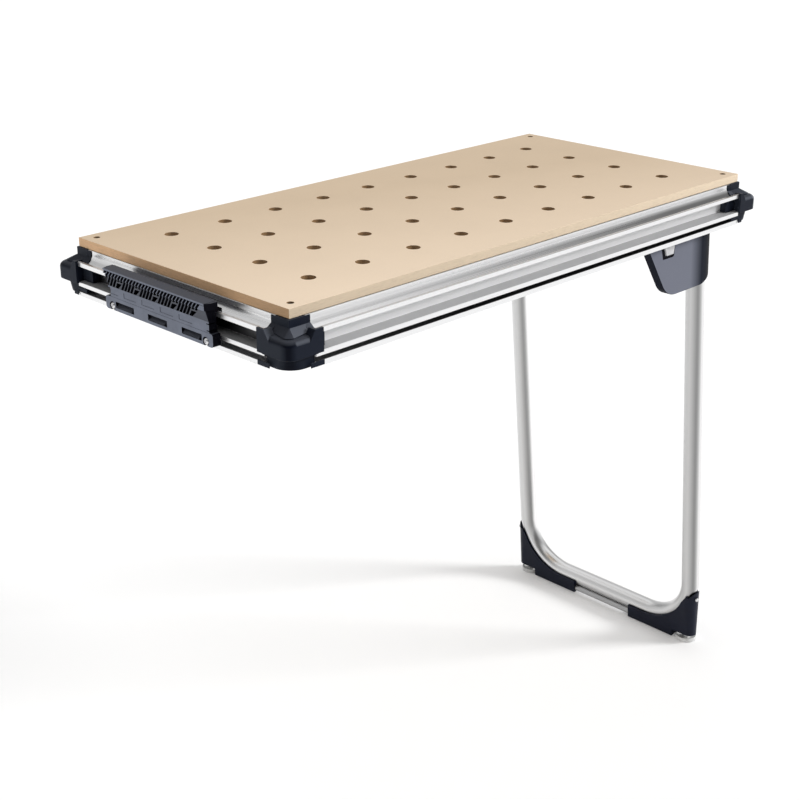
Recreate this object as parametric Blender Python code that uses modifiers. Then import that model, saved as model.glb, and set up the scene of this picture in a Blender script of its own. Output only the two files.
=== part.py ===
"""Multi-purpose work table with a perforated top, an aluminium frame, a hook bracket and a folding leg.

Metres, +Z up. The origin is on the floor under the middle of the table's box. Inside the script every
piece is drawn in the table's own frame, whose origin is the middle of the top face, and hangs from the
empty table_origin. Heights in that frame are negative below the top face. "Out" is a distance outward
from the plate's edge, "run" a distance along a rail from the plate's corner.
"""
import math

import bmesh
import bpy
from mathutils import Matrix, Vector

# Table and top plate
TABLE_HEIGHT = 0.8955
PLATE_LENGTH = 0.9715
PLATE_WIDTH = 0.4453
PLATE_THICKNESS = 0.0125
DOG_HOLE_DIAMETER = 0.020
DOG_HOLE_PITCH = 0.096
DOG_HOLE_COLUMNS = 9
DOG_HOLE_ROWS = 4
FIT_GAP = 0.0003
BORE_GAP = 0.0003
CUT_MARGIN = 0.002
ROUND_SIDES = 24
SMALL_SIDES = 12
HOLE_SIDES = 16

# Screws that hold the top
TOP_SCREW_INSET = 0.018
TOP_SCREW_SEAT = 0.005
TOP_SCREW_HEAD_DIAMETER = 0.0088
TOP_SCREW_HEAD_HEIGHT = 0.003
TOP_SCREW_DIAMETER = 0.0045
TOP_SCREW_LENGTH = 0.030

# Rail section
BAND_OUT = 0.0012
BAND_HEIGHT = 0.0111
GROOVE_OUT = 0.009
GROOVE_DROP = 0.0066
LIP_OUT = 0.021
LIP_WIDTH = 0.0045
LIP_RISE = 0.0047
LIP_HEIGHT = 0.0065
CHANNEL_HEIGHT = 0.0227
LOWER_LIP_HEIGHT = 0.006
SLOT_OUT = 0.009
SLOT_HEIGHT = 0.008
FLANGE_HEIGHT = 0.0065
RAIL_WALL = 0.003
FLANGE_IN = 0.0235
LEDGE_IN = 0.018
RAIL_END_RUN = 0.024

# Corner blocks
COLLAR_OUT = 0.0025
COLLAR_RUN = 0.0318
COVER_REACH = 0.0082
COVER_LIFT = 0.0005
COVER_THICKNESS = 0.0011
BUMPER_OUT = 0.025
BUMPER_RADIUS = 0.024
CORNER_ARC_STEPS = 7
NECK_OUT = 0.0085
FOOT_LIP_OUT = 0.0175
FOOT_LIP_RISE = 0.002
WING_RUN = 0.0327
WING_EAR_RUN = 0.0197
WING_ROOT_RUN = 0.010
WING_PROUD = 0.0002
WING_BELOW_FLOOR = 0.0023
EAR_RISE = 0.0013
EAR_DROP = 0.0125
DOME_TOP_DROP = 0.0021
DOME_DROP = 0.0063
DOME_SETBACK = 0.0027
INSERT_RUN = 0.046
INSERT_OUT = 0.012
TAB_RUN = 0.0375
TAB_ROOT_RUN = 0.0135
TAB_THICKNESS = 0.0013
TAB_EDGE = 0.0015

# Hook bracket on the left rail
HOOK_PLATE_OUT = 0.0335
HOOK_LEDGE_OUT = 0.0402
HOOK_TOP = -0.011
HOOK_EDGE_HEIGHT = 0.003
HOOK_LEDGE_THICKNESS = 0.009
HOOK_RIB_DROP = 0.0248
HOOK_BOTTOM = -0.069
HOOK_HALF_WIDTH = 0.107
HOOK_FLANGE_HALF_WIDTH = 0.115
HOOK_FLANGE_HEIGHT = 0.018
HOOK_LEDGE_HALF_WIDTH = 0.114
HOOK_LEDGE_BACK = 0.0040
HOOK_TONGUE_OUT = 0.0116
HOOK_TONGUE_HEIGHT = 0.0055
HOOK_TONGUE_GAP = 0.0006
RIB_SLOT_WIDTH = 0.0028
RIB_SLOT_PITCH = 0.0056
RIB_SLOT_COUNT = 36
RIB_SLOT_DEPTH = 0.0055
HOOK_SLOT_LENGTH = 0.040
HOOK_SLOT_HEIGHT = 0.0055
HOOK_SLOT_PITCH = 0.072
HOOK_SLOT_DEPTH = 0.006
HOOK_SLOT_LEVEL = -0.061
HOOK_BOLT_SPREAD = 0.2010
HOOK_BOLT_DIAMETER = 0.0045
HOOK_BOLT_HEAD_DIAMETER = 0.0095
HOOK_BOLT_HEAD_HEIGHT = 0.0035
SLOT_NUT_LENGTH = 0.024

# Folding leg
LEG_TUBE_DIAMETER = 0.0315
LEG_TUBE_WALL = 0.002
TUBE_RESOLUTION = 10
LEG_INSET = 0.02835
LEG_TILT = math.radians(6.0)
PIVOT_INSET = 0.0637
PIVOT_DROP = 0.118
CROSSBAR_RISE = 0.030
BEND_RADIUS = 0.095
LEG_CLEARANCE = 0.0012
BEND_STEPS = 8
KNUCKLE_NECK = 0.024
KNUCKLE_OUTWARD = 0.010
KNUCKLE_INWARD = 0.013
KNUCKLE_RADIUS = 0.0145
KNUCKLE_SPIGOT = 0.030
PIN_DIAMETER = 0.010
PIN_HEAD_DIAMETER = 0.016
PIN_HEAD_HEIGHT = 0.003
WASHER_DIAMETER = 0.022
FOOT_RAIL_DIAMETER = 0.012
FOOT_RAIL_ANGLE = math.radians(32.0)
FOOT_RAIL_ENTRY = 0.012

# Foot caps and levelling feet
CAP_SKIN = 0.0016
CAP_FRONT = 0.0195
CAP_INNER_REACH = 0.0655
CAP_TIP_RISE = 0.079
CAP_SHOULDER_DROP = 0.009
CAP_TAPER = 0.0015
CAP_BACK_TAPER = 0.012
CAP_END_STEPS = 10
CAP_BEND_STEPS = 7
CAP_BOTTOM_SKIN = 0.0016
CAP_CORNER = 0.006
CAP_SCREW_DROP = 0.013
CAP_SCREW_FORWARD = 0.005
CAP_SCREW_DIAMETER = 0.004
CAP_SCREW_HEAD_DIAMETER = 0.0076
CAP_SCREW_HEAD_HEIGHT = 0.002
CAP_SCREW_LENGTH = 0.010
PAD_DIAMETER = 0.039
PAD_SIDES = 32
PAD_RIM_HEIGHT = 0.003
PAD_HEIGHT = 0.008
PAD_NECK_DIAMETER = 0.016
PAD_INSET = 0.034
PAD_SETBACK = 0.004
STEM_DIAMETER = 0.008
STEM_LENGTH = 0.026
STEM_SOCKET = 0.004

# Leg housings, hinge brackets and release buttons
HOUSING_OUT = 0.0039
HOUSING_CHEEK = 0.015
HOUSING_DEPTH = 0.0585
HOUSING_WALL = 0.003
HOUSING_LEFT = 0.1808
HOUSING_SLANT = 0.653
HOUSING_HEIGHT = 0.0918
HOUSING_CORNER_RADIUS = 0.044
HOUSING_CORNER_STEPS = 8
HOUSING_CHAMFER_LEFT = 0.0258
HOUSING_CHAMFER_RIGHT = 0.056
HOUSING_CHAMFER_RISE = 0.0145
HOUSING_WRAP_RADIUS = 0.080
HOUSING_WRAP_LEFT = 0.0363
HOUSING_WRAP_STEPS = 10
HOUSING_LEAN = 0.067
BOSS_DIAMETER = 0.017
BOSS_ROOT = 0.001
BRACKET_THICKNESS = 0.003
BRACKET_PLATE_THICKNESS = 0.004
BRACKET_LEFT = 0.037
BRACKET_RIGHT = 0.003
BRACKET_HANG_LEFT = 0.030
BRACKET_HANG_RIGHT = 0.016
BRACKET_HANG_BELOW = 0.020
HINGE_SCREW_DIAMETER = 0.004
HINGE_SCREW_HEAD_DIAMETER = 0.0076
HINGE_SCREW_HEAD_HEIGHT = 0.002
HINGE_SCREW_IN = 0.017
HINGE_SCREW_SPACING = 0.024
BUTTON_LEFT = 0.1400
BUTTON_RIGHT = 0.1080
BUTTON_TAPER_LEFT = 0.009
BUTTON_TAPER_RIGHT = 0.003
BUTTON_HEIGHT = 0.0225
BUTTON_GAP = 0.0008
BUTTON_PROUD = 0.001
BUTTON_FLANGE = 0.002
BUTTON_FLANGE_LIP = 0.003
BUTTON_DEPTH = 0.0115

# Heights and places that follow from the sizes above
HALF_LENGTH = PLATE_LENGTH / 2
HALF_WIDTH = PLATE_WIDTH / 2
RAIL_TOP = -PLATE_THICKNESS - FIT_GAP
BAND_BOTTOM = RAIL_TOP - BAND_HEIGHT
GROOVE_BOTTOM = BAND_BOTTOM - GROOVE_DROP
LIP_TOP = GROOVE_BOTTOM + LIP_RISE
LIP_BOTTOM = LIP_TOP - LIP_HEIGHT
CHANNEL_FLOOR = LIP_BOTTOM - CHANNEL_HEIGHT
LOWER_LIP_BOTTOM = CHANNEL_FLOOR - LOWER_LIP_HEIGHT
SLOT_FLOOR = LOWER_LIP_BOTTOM - SLOT_HEIGHT
FRAME_BOTTOM = SLOT_FLOOR - FLANGE_HEIGHT
GROOVE_SLOPE = GROOVE_DROP / (GROOVE_OUT - BAND_OUT)
HOOK_BACK_OUT = LIP_OUT + FIT_GAP
HOOK_BOLT_LEVEL = LOWER_LIP_BOTTOM - FIT_GAP - HOOK_BOLT_DIAMETER / 2
TUBE_RADIUS = LEG_TUBE_DIAMETER / 2
TUBE_SIDES = 4 + 2 * TUBE_RESOLUTION
LEG_Y = HALF_WIDTH - LEG_INSET
PIVOT_X = HALF_LENGTH - PIVOT_INSET
PIVOT_Z = -PIVOT_DROP
CROSSBAR_DROP = TABLE_HEIGHT - CROSSBAR_RISE
CROSSBAR_REACH = (CROSSBAR_DROP - PIVOT_DROP) / math.cos(LEG_TILT)
PAD_Y = HALF_WIDTH - PAD_INSET
PAD_X = PIVOT_X + math.tan(LEG_TILT) * (TABLE_HEIGHT - PIVOT_DROP) - PAD_SETBACK
HOUSING_FACE = HALF_WIDTH + HOUSING_OUT
HOUSING_INNER = HOUSING_FACE - HOUSING_CHEEK
HOUSING_TOP = FRAME_BOTTOM - FIT_GAP
HOUSING_BOTTOM = HOUSING_TOP - HOUSING_HEIGHT
KNUCKLE_OUTER = LEG_Y + KNUCKLE_OUTWARD
KNUCKLE_INNER = LEG_Y - KNUCKLE_INWARD
BRACKET_OUTER_Y = LEG_Y - TUBE_RADIUS - LEG_CLEARANCE
BRACKET_INNER_Y = BRACKET_OUTER_Y - BRACKET_PLATE_THICKNESS
HINGE_SCREW_Y = HALF_WIDTH - HINGE_SCREW_IN
ORIGIN_SHIFT = (HALF_LENGTH + HOOK_LEDGE_OUT - PAD_X - PAD_DIAMETER / 2) / 2
FRONT = -1
REAR = 1
SIDES = (("front", FRONT), ("rear", REAR))

PLANE_AXES = {
    "XY": Matrix(((1, 0, 0, 0), (0, 1, 0, 0), (0, 0, 1, 0), (0, 0, 0, 1))),
    "XZ": Matrix(((1, 0, 0, 0), (0, 0, -1, 0), (0, 1, 0, 0), (0, 0, 0, 1))),
    "YZ": Matrix(((0, 0, 1, 0), (1, 0, 0, 0), (0, 1, 0, 0), (0, 0, 0, 1))),
}
EXTRUDE_SIGN = {"XY": 1, "XZ": -1, "YZ": 1}


def new_collection(name):
    collection = bpy.data.collections.new(name)
    bpy.context.scene.collection.children.link(collection)
    return collection


def material(name, colour, roughness, metallic):
    finish = bpy.data.materials.new(name)
    finish.use_nodes = True
    shader = finish.node_tree.nodes["Principled BSDF"]
    shader.inputs["Base Color"].default_value = (*colour, 1.0)
    shader.inputs["Roughness"].default_value = roughness
    shader.inputs["Metallic"].default_value = metallic
    return finish


def arc(centre, radius, start, stop, steps):
    """Points on a circle from one angle to another, both ends included."""
    points = []
    for index in range(steps + 1):
        angle = start + (stop - start) * index / steps
        points.append((centre[0] + radius * math.cos(angle), centre[1] + radius * math.sin(angle)))
    return points


def circle(centre, radius, sides):
    return arc(centre, radius, 0, 2 * math.pi * (1 - 1 / sides), sides - 1)


def add_spline(curve, points):
    spline = curve.splines.new("POLY")
    spline.points.add(len(points) - 1)
    for knot, point in zip(spline.points, points):
        knot.co = (point[0], point[1], point[2] if len(point) > 2 else 0, 1)
    return spline


def curve_mesh(curve, matrix):
    """Closed mesh of a curve, welded, moved by the matrix; the curve itself is removed."""
    holder = bpy.data.objects.new("outline", curve)
    bpy.context.scene.collection.objects.link(holder)
    evaluated = holder.evaluated_get(bpy.context.evaluated_depsgraph_get())
    mesh = bpy.data.meshes.new_from_object(evaluated)
    bpy.data.objects.remove(holder, do_unlink=True)
    bpy.data.curves.remove(curve)
    work = bmesh.new()
    work.from_mesh(mesh)
    bmesh.ops.remove_doubles(work, verts=work.verts, dist=1e-6)
    bmesh.ops.transform(work, matrix=matrix, verts=work.verts)
    bmesh.ops.recalc_face_normals(work, faces=work.faces)
    work.to_mesh(mesh)
    work.free()
    mesh.materials.clear()
    return mesh


def prism(points, low, high, plane, holes=()):
    """Outline in one plane, drawn out along the third axis between two places."""
    curve = bpy.data.curves.new("outline", "CURVE")
    curve.dimensions = "2D"
    curve.fill_mode = "BOTH"
    curve.extrude = abs(high - low) / 2
    for loop in (points, *holes):
        spline = add_spline(curve, loop)
        spline.use_cyclic_u = True
        spline.use_smooth = False
    middle = EXTRUDE_SIGN[plane] * (low + high) / 2
    return curve_mesh(curve, PLANE_AXES[plane] @ Matrix.Translation((0, 0, middle)))


def tube_along(points, radius):
    """Round rod along a path, with closed ends."""
    curve = bpy.data.curves.new("path", "CURVE")
    curve.dimensions = "3D"
    curve.bevel_depth = radius
    curve.bevel_resolution = TUBE_RESOLUTION
    curve.use_fill_caps = True
    add_spline(curve, points)
    return curve_mesh(curve, Matrix.Identity(4))


def box(low, high):
    work = bmesh.new()
    bmesh.ops.create_cube(work, size=1)
    low = Vector(low)
    high = Vector(high)
    size = Matrix.Diagonal((*[abs(high[axis] - low[axis]) for axis in range(3)], 1))
    bmesh.ops.transform(work, matrix=Matrix.Translation((low + high) / 2) @ size, verts=work.verts)
    return finished(work, "box")


def rod(start, end, radius, sides=ROUND_SIDES):
    work = bmesh.new()
    start = Vector(start)
    axis = Vector(end) - start
    bmesh.ops.create_cone(work, cap_ends=True, segments=sides, radius1=radius, radius2=radius,
                          depth=axis.length)
    turn = axis.to_track_quat("Z", "Y").to_matrix().to_4x4()
    bmesh.ops.transform(work, matrix=Matrix.Translation(start + axis / 2) @ turn, verts=work.verts)
    return finished(work, "rod")


def finished(work, name):
    mesh = bpy.data.meshes.new(name)
    bmesh.ops.recalc_face_normals(work, faces=work.faces)
    work.to_mesh(mesh)
    work.free()
    return mesh


def together(meshes):
    """Several separate closed meshes as one, for a tool that cuts a pattern."""
    work = bmesh.new()
    for mesh in meshes:
        work.from_mesh(mesh)
        bpy.data.meshes.remove(mesh)
    return finished(work, "pattern")


def loft(loops, name):
    """Closed skin over rings of equal count, one ring a level."""
    work = bmesh.new()
    rings = [[work.verts.new(point) for point in loop] for loop in loops]
    count = len(rings[0])
    for lower, upper in zip(rings, rings[1:]):
        for index in range(count):
            following = (index + 1) % count
            work.faces.new((lower[index], lower[following], upper[following], upper[index]))
    work.faces.new(rings[0])
    work.faces.new(rings[-1])
    return finished(work, name)


def part(name, mesh, finish, parent):
    obj = bpy.data.objects.new(name, mesh)
    PARTS.objects.link(obj)
    mesh.materials.append(finish)
    obj.parent = parent
    return obj


def turned(name, profile, finish, parent, place, axis, sides=ROUND_SIDES):
    """Profile of (radius, height) pairs, listed from the top down, turned about an axis at a place."""
    mesh = bpy.data.meshes.new(name)
    points = [(radius, 0, height) for radius, height in profile]
    mesh.from_pydata(points, [(index, index + 1) for index in range(len(points) - 1)], [])
    obj = part(name, mesh, finish, parent)
    obj.location = place
    obj.rotation_euler = Vector(axis).to_track_quat("Z", "Y").to_euler()
    screw = obj.modifiers.new("Screw", "SCREW")
    screw.steps = sides
    screw.render_steps = sides
    screw.use_merge_vertices = True
    screw.merge_threshold = 1e-6
    return obj


def tool(target, mesh, operation):
    """Boolean on a part; the tool shares the part's own frame."""
    helper = bpy.data.objects.new(f"{target.name}_{operation.lower()}", mesh)
    CUTTERS.objects.link(helper)
    helper.parent = target
    helper.hide_render = True
    helper.display_type = "WIRE"
    modifier = target.modifiers.new(operation.title(), "BOOLEAN")
    modifier.operation = operation
    modifier.object = helper
    modifier.solver = "EXACT"


def cut(target, mesh):
    tool(target, mesh, "DIFFERENCE")


def join(target, mesh):
    tool(target, mesh, "UNION")


def empty(name, place, parent):
    marker = bpy.data.objects.new(name, None)
    bpy.context.scene.collection.objects.link(marker)
    marker.location = place
    marker.parent = parent
    return marker


def headed_profile(head_radius, head_height, radius, length):
    """Flat-headed fastener, top of the head at zero, shank below."""
    return [(0, 0), (head_radius, 0), (head_radius, -head_height), (radius, -head_height),
            (radius, -length), (0, -length)]


def corner_places():
    for end_name, end in (("left", -1), ("right", 1)):
        for side_name, side in SIDES:
            yield f"{side_name}_{end_name}", end, side


def screw_places():
    inset_x = HALF_LENGTH - TOP_SCREW_INSET
    inset_y = HALF_WIDTH - TOP_SCREW_INSET
    return [(name, end * inset_x, side * inset_y) for name, end, side in corner_places()]


def dog_hole_places():
    columns = [(column - (DOG_HOLE_COLUMNS - 1) / 2) * DOG_HOLE_PITCH for column in range(DOG_HOLE_COLUMNS)]
    rows = [(row - (DOG_HOLE_ROWS - 1) / 2) * DOG_HOLE_PITCH for row in range(DOG_HOLE_ROWS)]
    return [(x, y) for x in columns for y in rows]


def through_plate(x, y, radius, sides):
    """Rod that runs right through the plate, for drilling it."""
    return rod((x, y, -PLATE_THICKNESS - CUT_MARGIN), (x, y, CUT_MARGIN), radius, sides)


def build_top(parent):
    plate = part("perforated_top", box((-HALF_LENGTH, -HALF_WIDTH, -PLATE_THICKNESS), (HALF_LENGTH, HALF_WIDTH, 0)),
                 WOOD, parent)
    cut(plate, together([through_plate(x, y, DOG_HOLE_DIAMETER / 2, HOLE_SIDES) for x, y in dog_hole_places()]))
    shank_hole = TOP_SCREW_DIAMETER / 2 + BORE_GAP
    cut(plate, together([through_plate(x, y, shank_hole, SMALL_SIDES) for name, x, y in screw_places()]))
    head_hole = TOP_SCREW_HEAD_DIAMETER / 2 + BORE_GAP
    seats = [rod((x, y, -TOP_SCREW_SEAT), (x, y, CUT_MARGIN), head_hole, HOLE_SIDES)
             for name, x, y in screw_places()]
    cut(plate, together(seats))
    head_top = -TOP_SCREW_SEAT + FIT_GAP + TOP_SCREW_HEAD_HEIGHT
    profile = headed_profile(TOP_SCREW_HEAD_DIAMETER / 2, TOP_SCREW_HEAD_HEIGHT,
                             TOP_SCREW_DIAMETER / 2, TOP_SCREW_LENGTH)
    for name, x, y in screw_places():
        turned(f"top_screw_{name}", profile, STEEL, parent, (x, y, head_top), (0, 0, 1), SMALL_SIDES)


def rail_section():
    """Outline of the extrusion as (out, height) pairs."""
    return [
        (BAND_OUT, RAIL_TOP), (BAND_OUT, BAND_BOTTOM), (GROOVE_OUT, GROOVE_BOTTOM),
        (LIP_OUT - LIP_WIDTH, LIP_TOP), (LIP_OUT, LIP_TOP), (LIP_OUT, LIP_BOTTOM),
        (0, LIP_BOTTOM), (0, CHANNEL_FLOOR), (LIP_OUT, CHANNEL_FLOOR), (LIP_OUT, LOWER_LIP_BOTTOM),
        (SLOT_OUT, LOWER_LIP_BOTTOM), (SLOT_OUT, SLOT_FLOOR), (LIP_OUT, SLOT_FLOOR),
        (LIP_OUT, FRAME_BOTTOM), (-FLANGE_IN, FRAME_BOTTOM), (-FLANGE_IN, FRAME_BOTTOM + RAIL_WALL),
        (-RAIL_WALL, FRAME_BOTTOM + RAIL_WALL), (-RAIL_WALL, RAIL_TOP - RAIL_WALL),
        (-LEDGE_IN, RAIL_TOP - RAIL_WALL), (-LEDGE_IN, RAIL_TOP),
    ]


def hinge_screw_xs():
    middle = PIVOT_X - (BRACKET_LEFT - BRACKET_RIGHT) / 2
    return (middle - HINGE_SCREW_SPACING / 2, middle + HINGE_SCREW_SPACING / 2)


def build_rails(parent):
    long_half = HALF_LENGTH - RAIL_END_RUN
    short_half = HALF_WIDTH - RAIL_END_RUN
    hole = HINGE_SCREW_DIAMETER / 2 + BORE_GAP
    for name, side in SIDES:
        points = [(side * (HALF_WIDTH + out), height) for out, height in rail_section()]
        rail = part(f"{name}_rail", prism(points, -long_half, long_half, "YZ"), ALUMINIUM, parent)
        y = side * HINGE_SCREW_Y
        cut(rail, together([rod((x, y, FRAME_BOTTOM - CUT_MARGIN), (x, y, FRAME_BOTTOM + RAIL_WALL + CUT_MARGIN),
                                hole, SMALL_SIDES) for x in hinge_screw_xs()]))
    for name, end in (("left", -1), ("right", 1)):
        points = [(end * (HALF_LENGTH + out), height) for out, height in rail_section()]
        part(f"{name}_rail", prism(points, -short_half, short_half, "XZ"), ALUMINIUM, parent)


def corner_ring(height, out, radius, inner):
    """Square plan with its outer corner rounded; the plate's corner is the origin, +X and +Y lead inward."""
    outer = arc((radius - out, radius - out), radius, -math.pi / 2, -math.pi, CORNER_ARC_STEPS)
    return [(x, y, height) for x, y in [(inner, -out), *outer, (-out, inner), (inner, inner)]]


def cover_height(out, lift):
    """Height above the rail's slope, lifted clear of it."""
    return BAND_BOTTOM - (out - BAND_OUT) * GROOVE_SLOPE + lift


def along_side(points_out_height, low, high):
    """The same section along both sides of the corner."""
    pieces = [prism([(-out, height) for out, height in points_out_height], low, high, "XZ"),
              prism([(-out, height) for out, height in points_out_height], low, high, "YZ")]
    return together(pieces)


def facing_side(points_run_height, low_out, high_out):
    """The same outline on both outer faces of the corner, between two distances out."""
    return together([prism(points_run_height, -high_out, -low_out, "XZ"),
                     prism(points_run_height, -high_out, -low_out, "YZ")])


def build_corners(parent):
    inner = RAIL_END_RUN - FIT_GAP
    shoulder = GROOVE_BOTTOM - EAR_DROP
    tuck = LOWER_LIP_BOTTOM - FIT_GAP
    levels = [
        (RAIL_TOP, COLLAR_OUT, COLLAR_OUT),
        (BAND_BOTTOM, COLLAR_OUT, COLLAR_OUT),
        (GROOVE_BOTTOM, NECK_OUT, NECK_OUT),
        (GROOVE_BOTTOM - DOME_TOP_DROP, (NECK_OUT + BUMPER_OUT) / 2, (NECK_OUT + BUMPER_RADIUS) / 2),
        (GROOVE_BOTTOM - DOME_DROP, BUMPER_OUT - DOME_SETBACK, BUMPER_RADIUS - DOME_SETBACK),
        (shoulder, BUMPER_OUT, BUMPER_RADIUS),
        (tuck, BUMPER_OUT, BUMPER_RADIUS),
        (tuck - TAB_EDGE, FOOT_LIP_OUT + TAB_EDGE, FOOT_LIP_OUT),
        (SLOT_FLOOR, FOOT_LIP_OUT, FOOT_LIP_OUT),
        (FRAME_BOTTOM + FOOT_LIP_RISE, FOOT_LIP_OUT, FOOT_LIP_OUT),
    ]
    band_face = BAND_OUT + FIT_GAP
    collar_top = RAIL_TOP - FIT_GAP
    cover = [
        (band_face, collar_top), (COLLAR_OUT + WING_PROUD, collar_top),
        (COLLAR_OUT + WING_PROUD, cover_height(COLLAR_OUT, COVER_LIFT + COVER_THICKNESS)),
        (COVER_REACH, cover_height(COVER_REACH, COVER_LIFT + COVER_THICKNESS)),
        (COVER_REACH, cover_height(COVER_REACH, COVER_LIFT)),
        (band_face, cover_height(band_face, COVER_LIFT)),
    ]
    wing_bottom = CHANNEL_FLOOR - WING_BELOW_FLOOR
    ear = LIP_TOP + EAR_RISE
    wing = [(WING_RUN, ear), (WING_EAR_RUN, ear), (WING_ROOT_RUN, shoulder),
            (WING_ROOT_RUN, wing_bottom), (WING_RUN, wing_bottom)]
    insert = [(FIT_GAP, LIP_BOTTOM - FIT_GAP), (INSERT_OUT, LIP_BOTTOM - FIT_GAP),
              (INSERT_OUT, CHANNEL_FLOOR + FIT_GAP), (FIT_GAP, CHANNEL_FLOOR + FIT_GAP)]
    tab = [(TAB_ROOT_RUN, LOWER_LIP_BOTTOM - TAB_EDGE), (TAB_RUN, LOWER_LIP_BOTTOM - TAB_EDGE),
           (TAB_RUN, FRAME_BOTTOM + TAB_EDGE), (TAB_ROOT_RUN, FRAME_BOTTOM + TAB_EDGE)]
    face = LIP_OUT + FIT_GAP
    root = inner - CUT_MARGIN
    bore = TOP_SCREW_DIAMETER / 2 + BORE_GAP
    screw_end = -TOP_SCREW_SEAT + TOP_SCREW_HEAD_HEIGHT - TOP_SCREW_LENGTH - CUT_MARGIN
    turn = {(-1, FRONT): 0, (1, FRONT): math.pi / 2, (1, REAR): math.pi, (-1, REAR): -math.pi / 2}
    for name, end, side in corner_places():
        rings = [corner_ring(height, out, radius, inner) for height, out, radius in levels]
        block = part(f"corner_{name}", loft(rings, "corner"), DARK_PLASTIC, parent)
        block.location = (end * HALF_LENGTH, side * HALF_WIDTH, 0)
        block.rotation_euler.z = turn[(end, side)]
        join(block, along_side(cover, root, COLLAR_RUN))
        join(block, facing_side(wing, face, BUMPER_OUT + WING_PROUD))
        join(block, along_side(insert, root, INSERT_RUN))
        join(block, facing_side(tab, FOOT_LIP_OUT - TAB_EDGE, face + TAB_THICKNESS))
        cut(block, facing_side([(RAIL_END_RUN - FIT_GAP, LOWER_LIP_BOTTOM + FIT_GAP),
                                (TAB_RUN + CUT_MARGIN, LOWER_LIP_BOTTOM + FIT_GAP),
                                (TAB_RUN + CUT_MARGIN, FRAME_BOTTOM - CUT_MARGIN),
                                (RAIL_END_RUN - FIT_GAP, FRAME_BOTTOM - CUT_MARGIN)],
                               FOOT_LIP_OUT - CUT_MARGIN, face))
        cut(block, rod((TOP_SCREW_INSET, TOP_SCREW_INSET, screw_end),
                       (TOP_SCREW_INSET, TOP_SCREW_INSET, RAIL_TOP + CUT_MARGIN), bore, SMALL_SIDES))


def left_x(out):
    return -HALF_LENGTH - out


def hook_outline(points):
    return [(left_x(out), height) for out, height in points]


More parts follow.
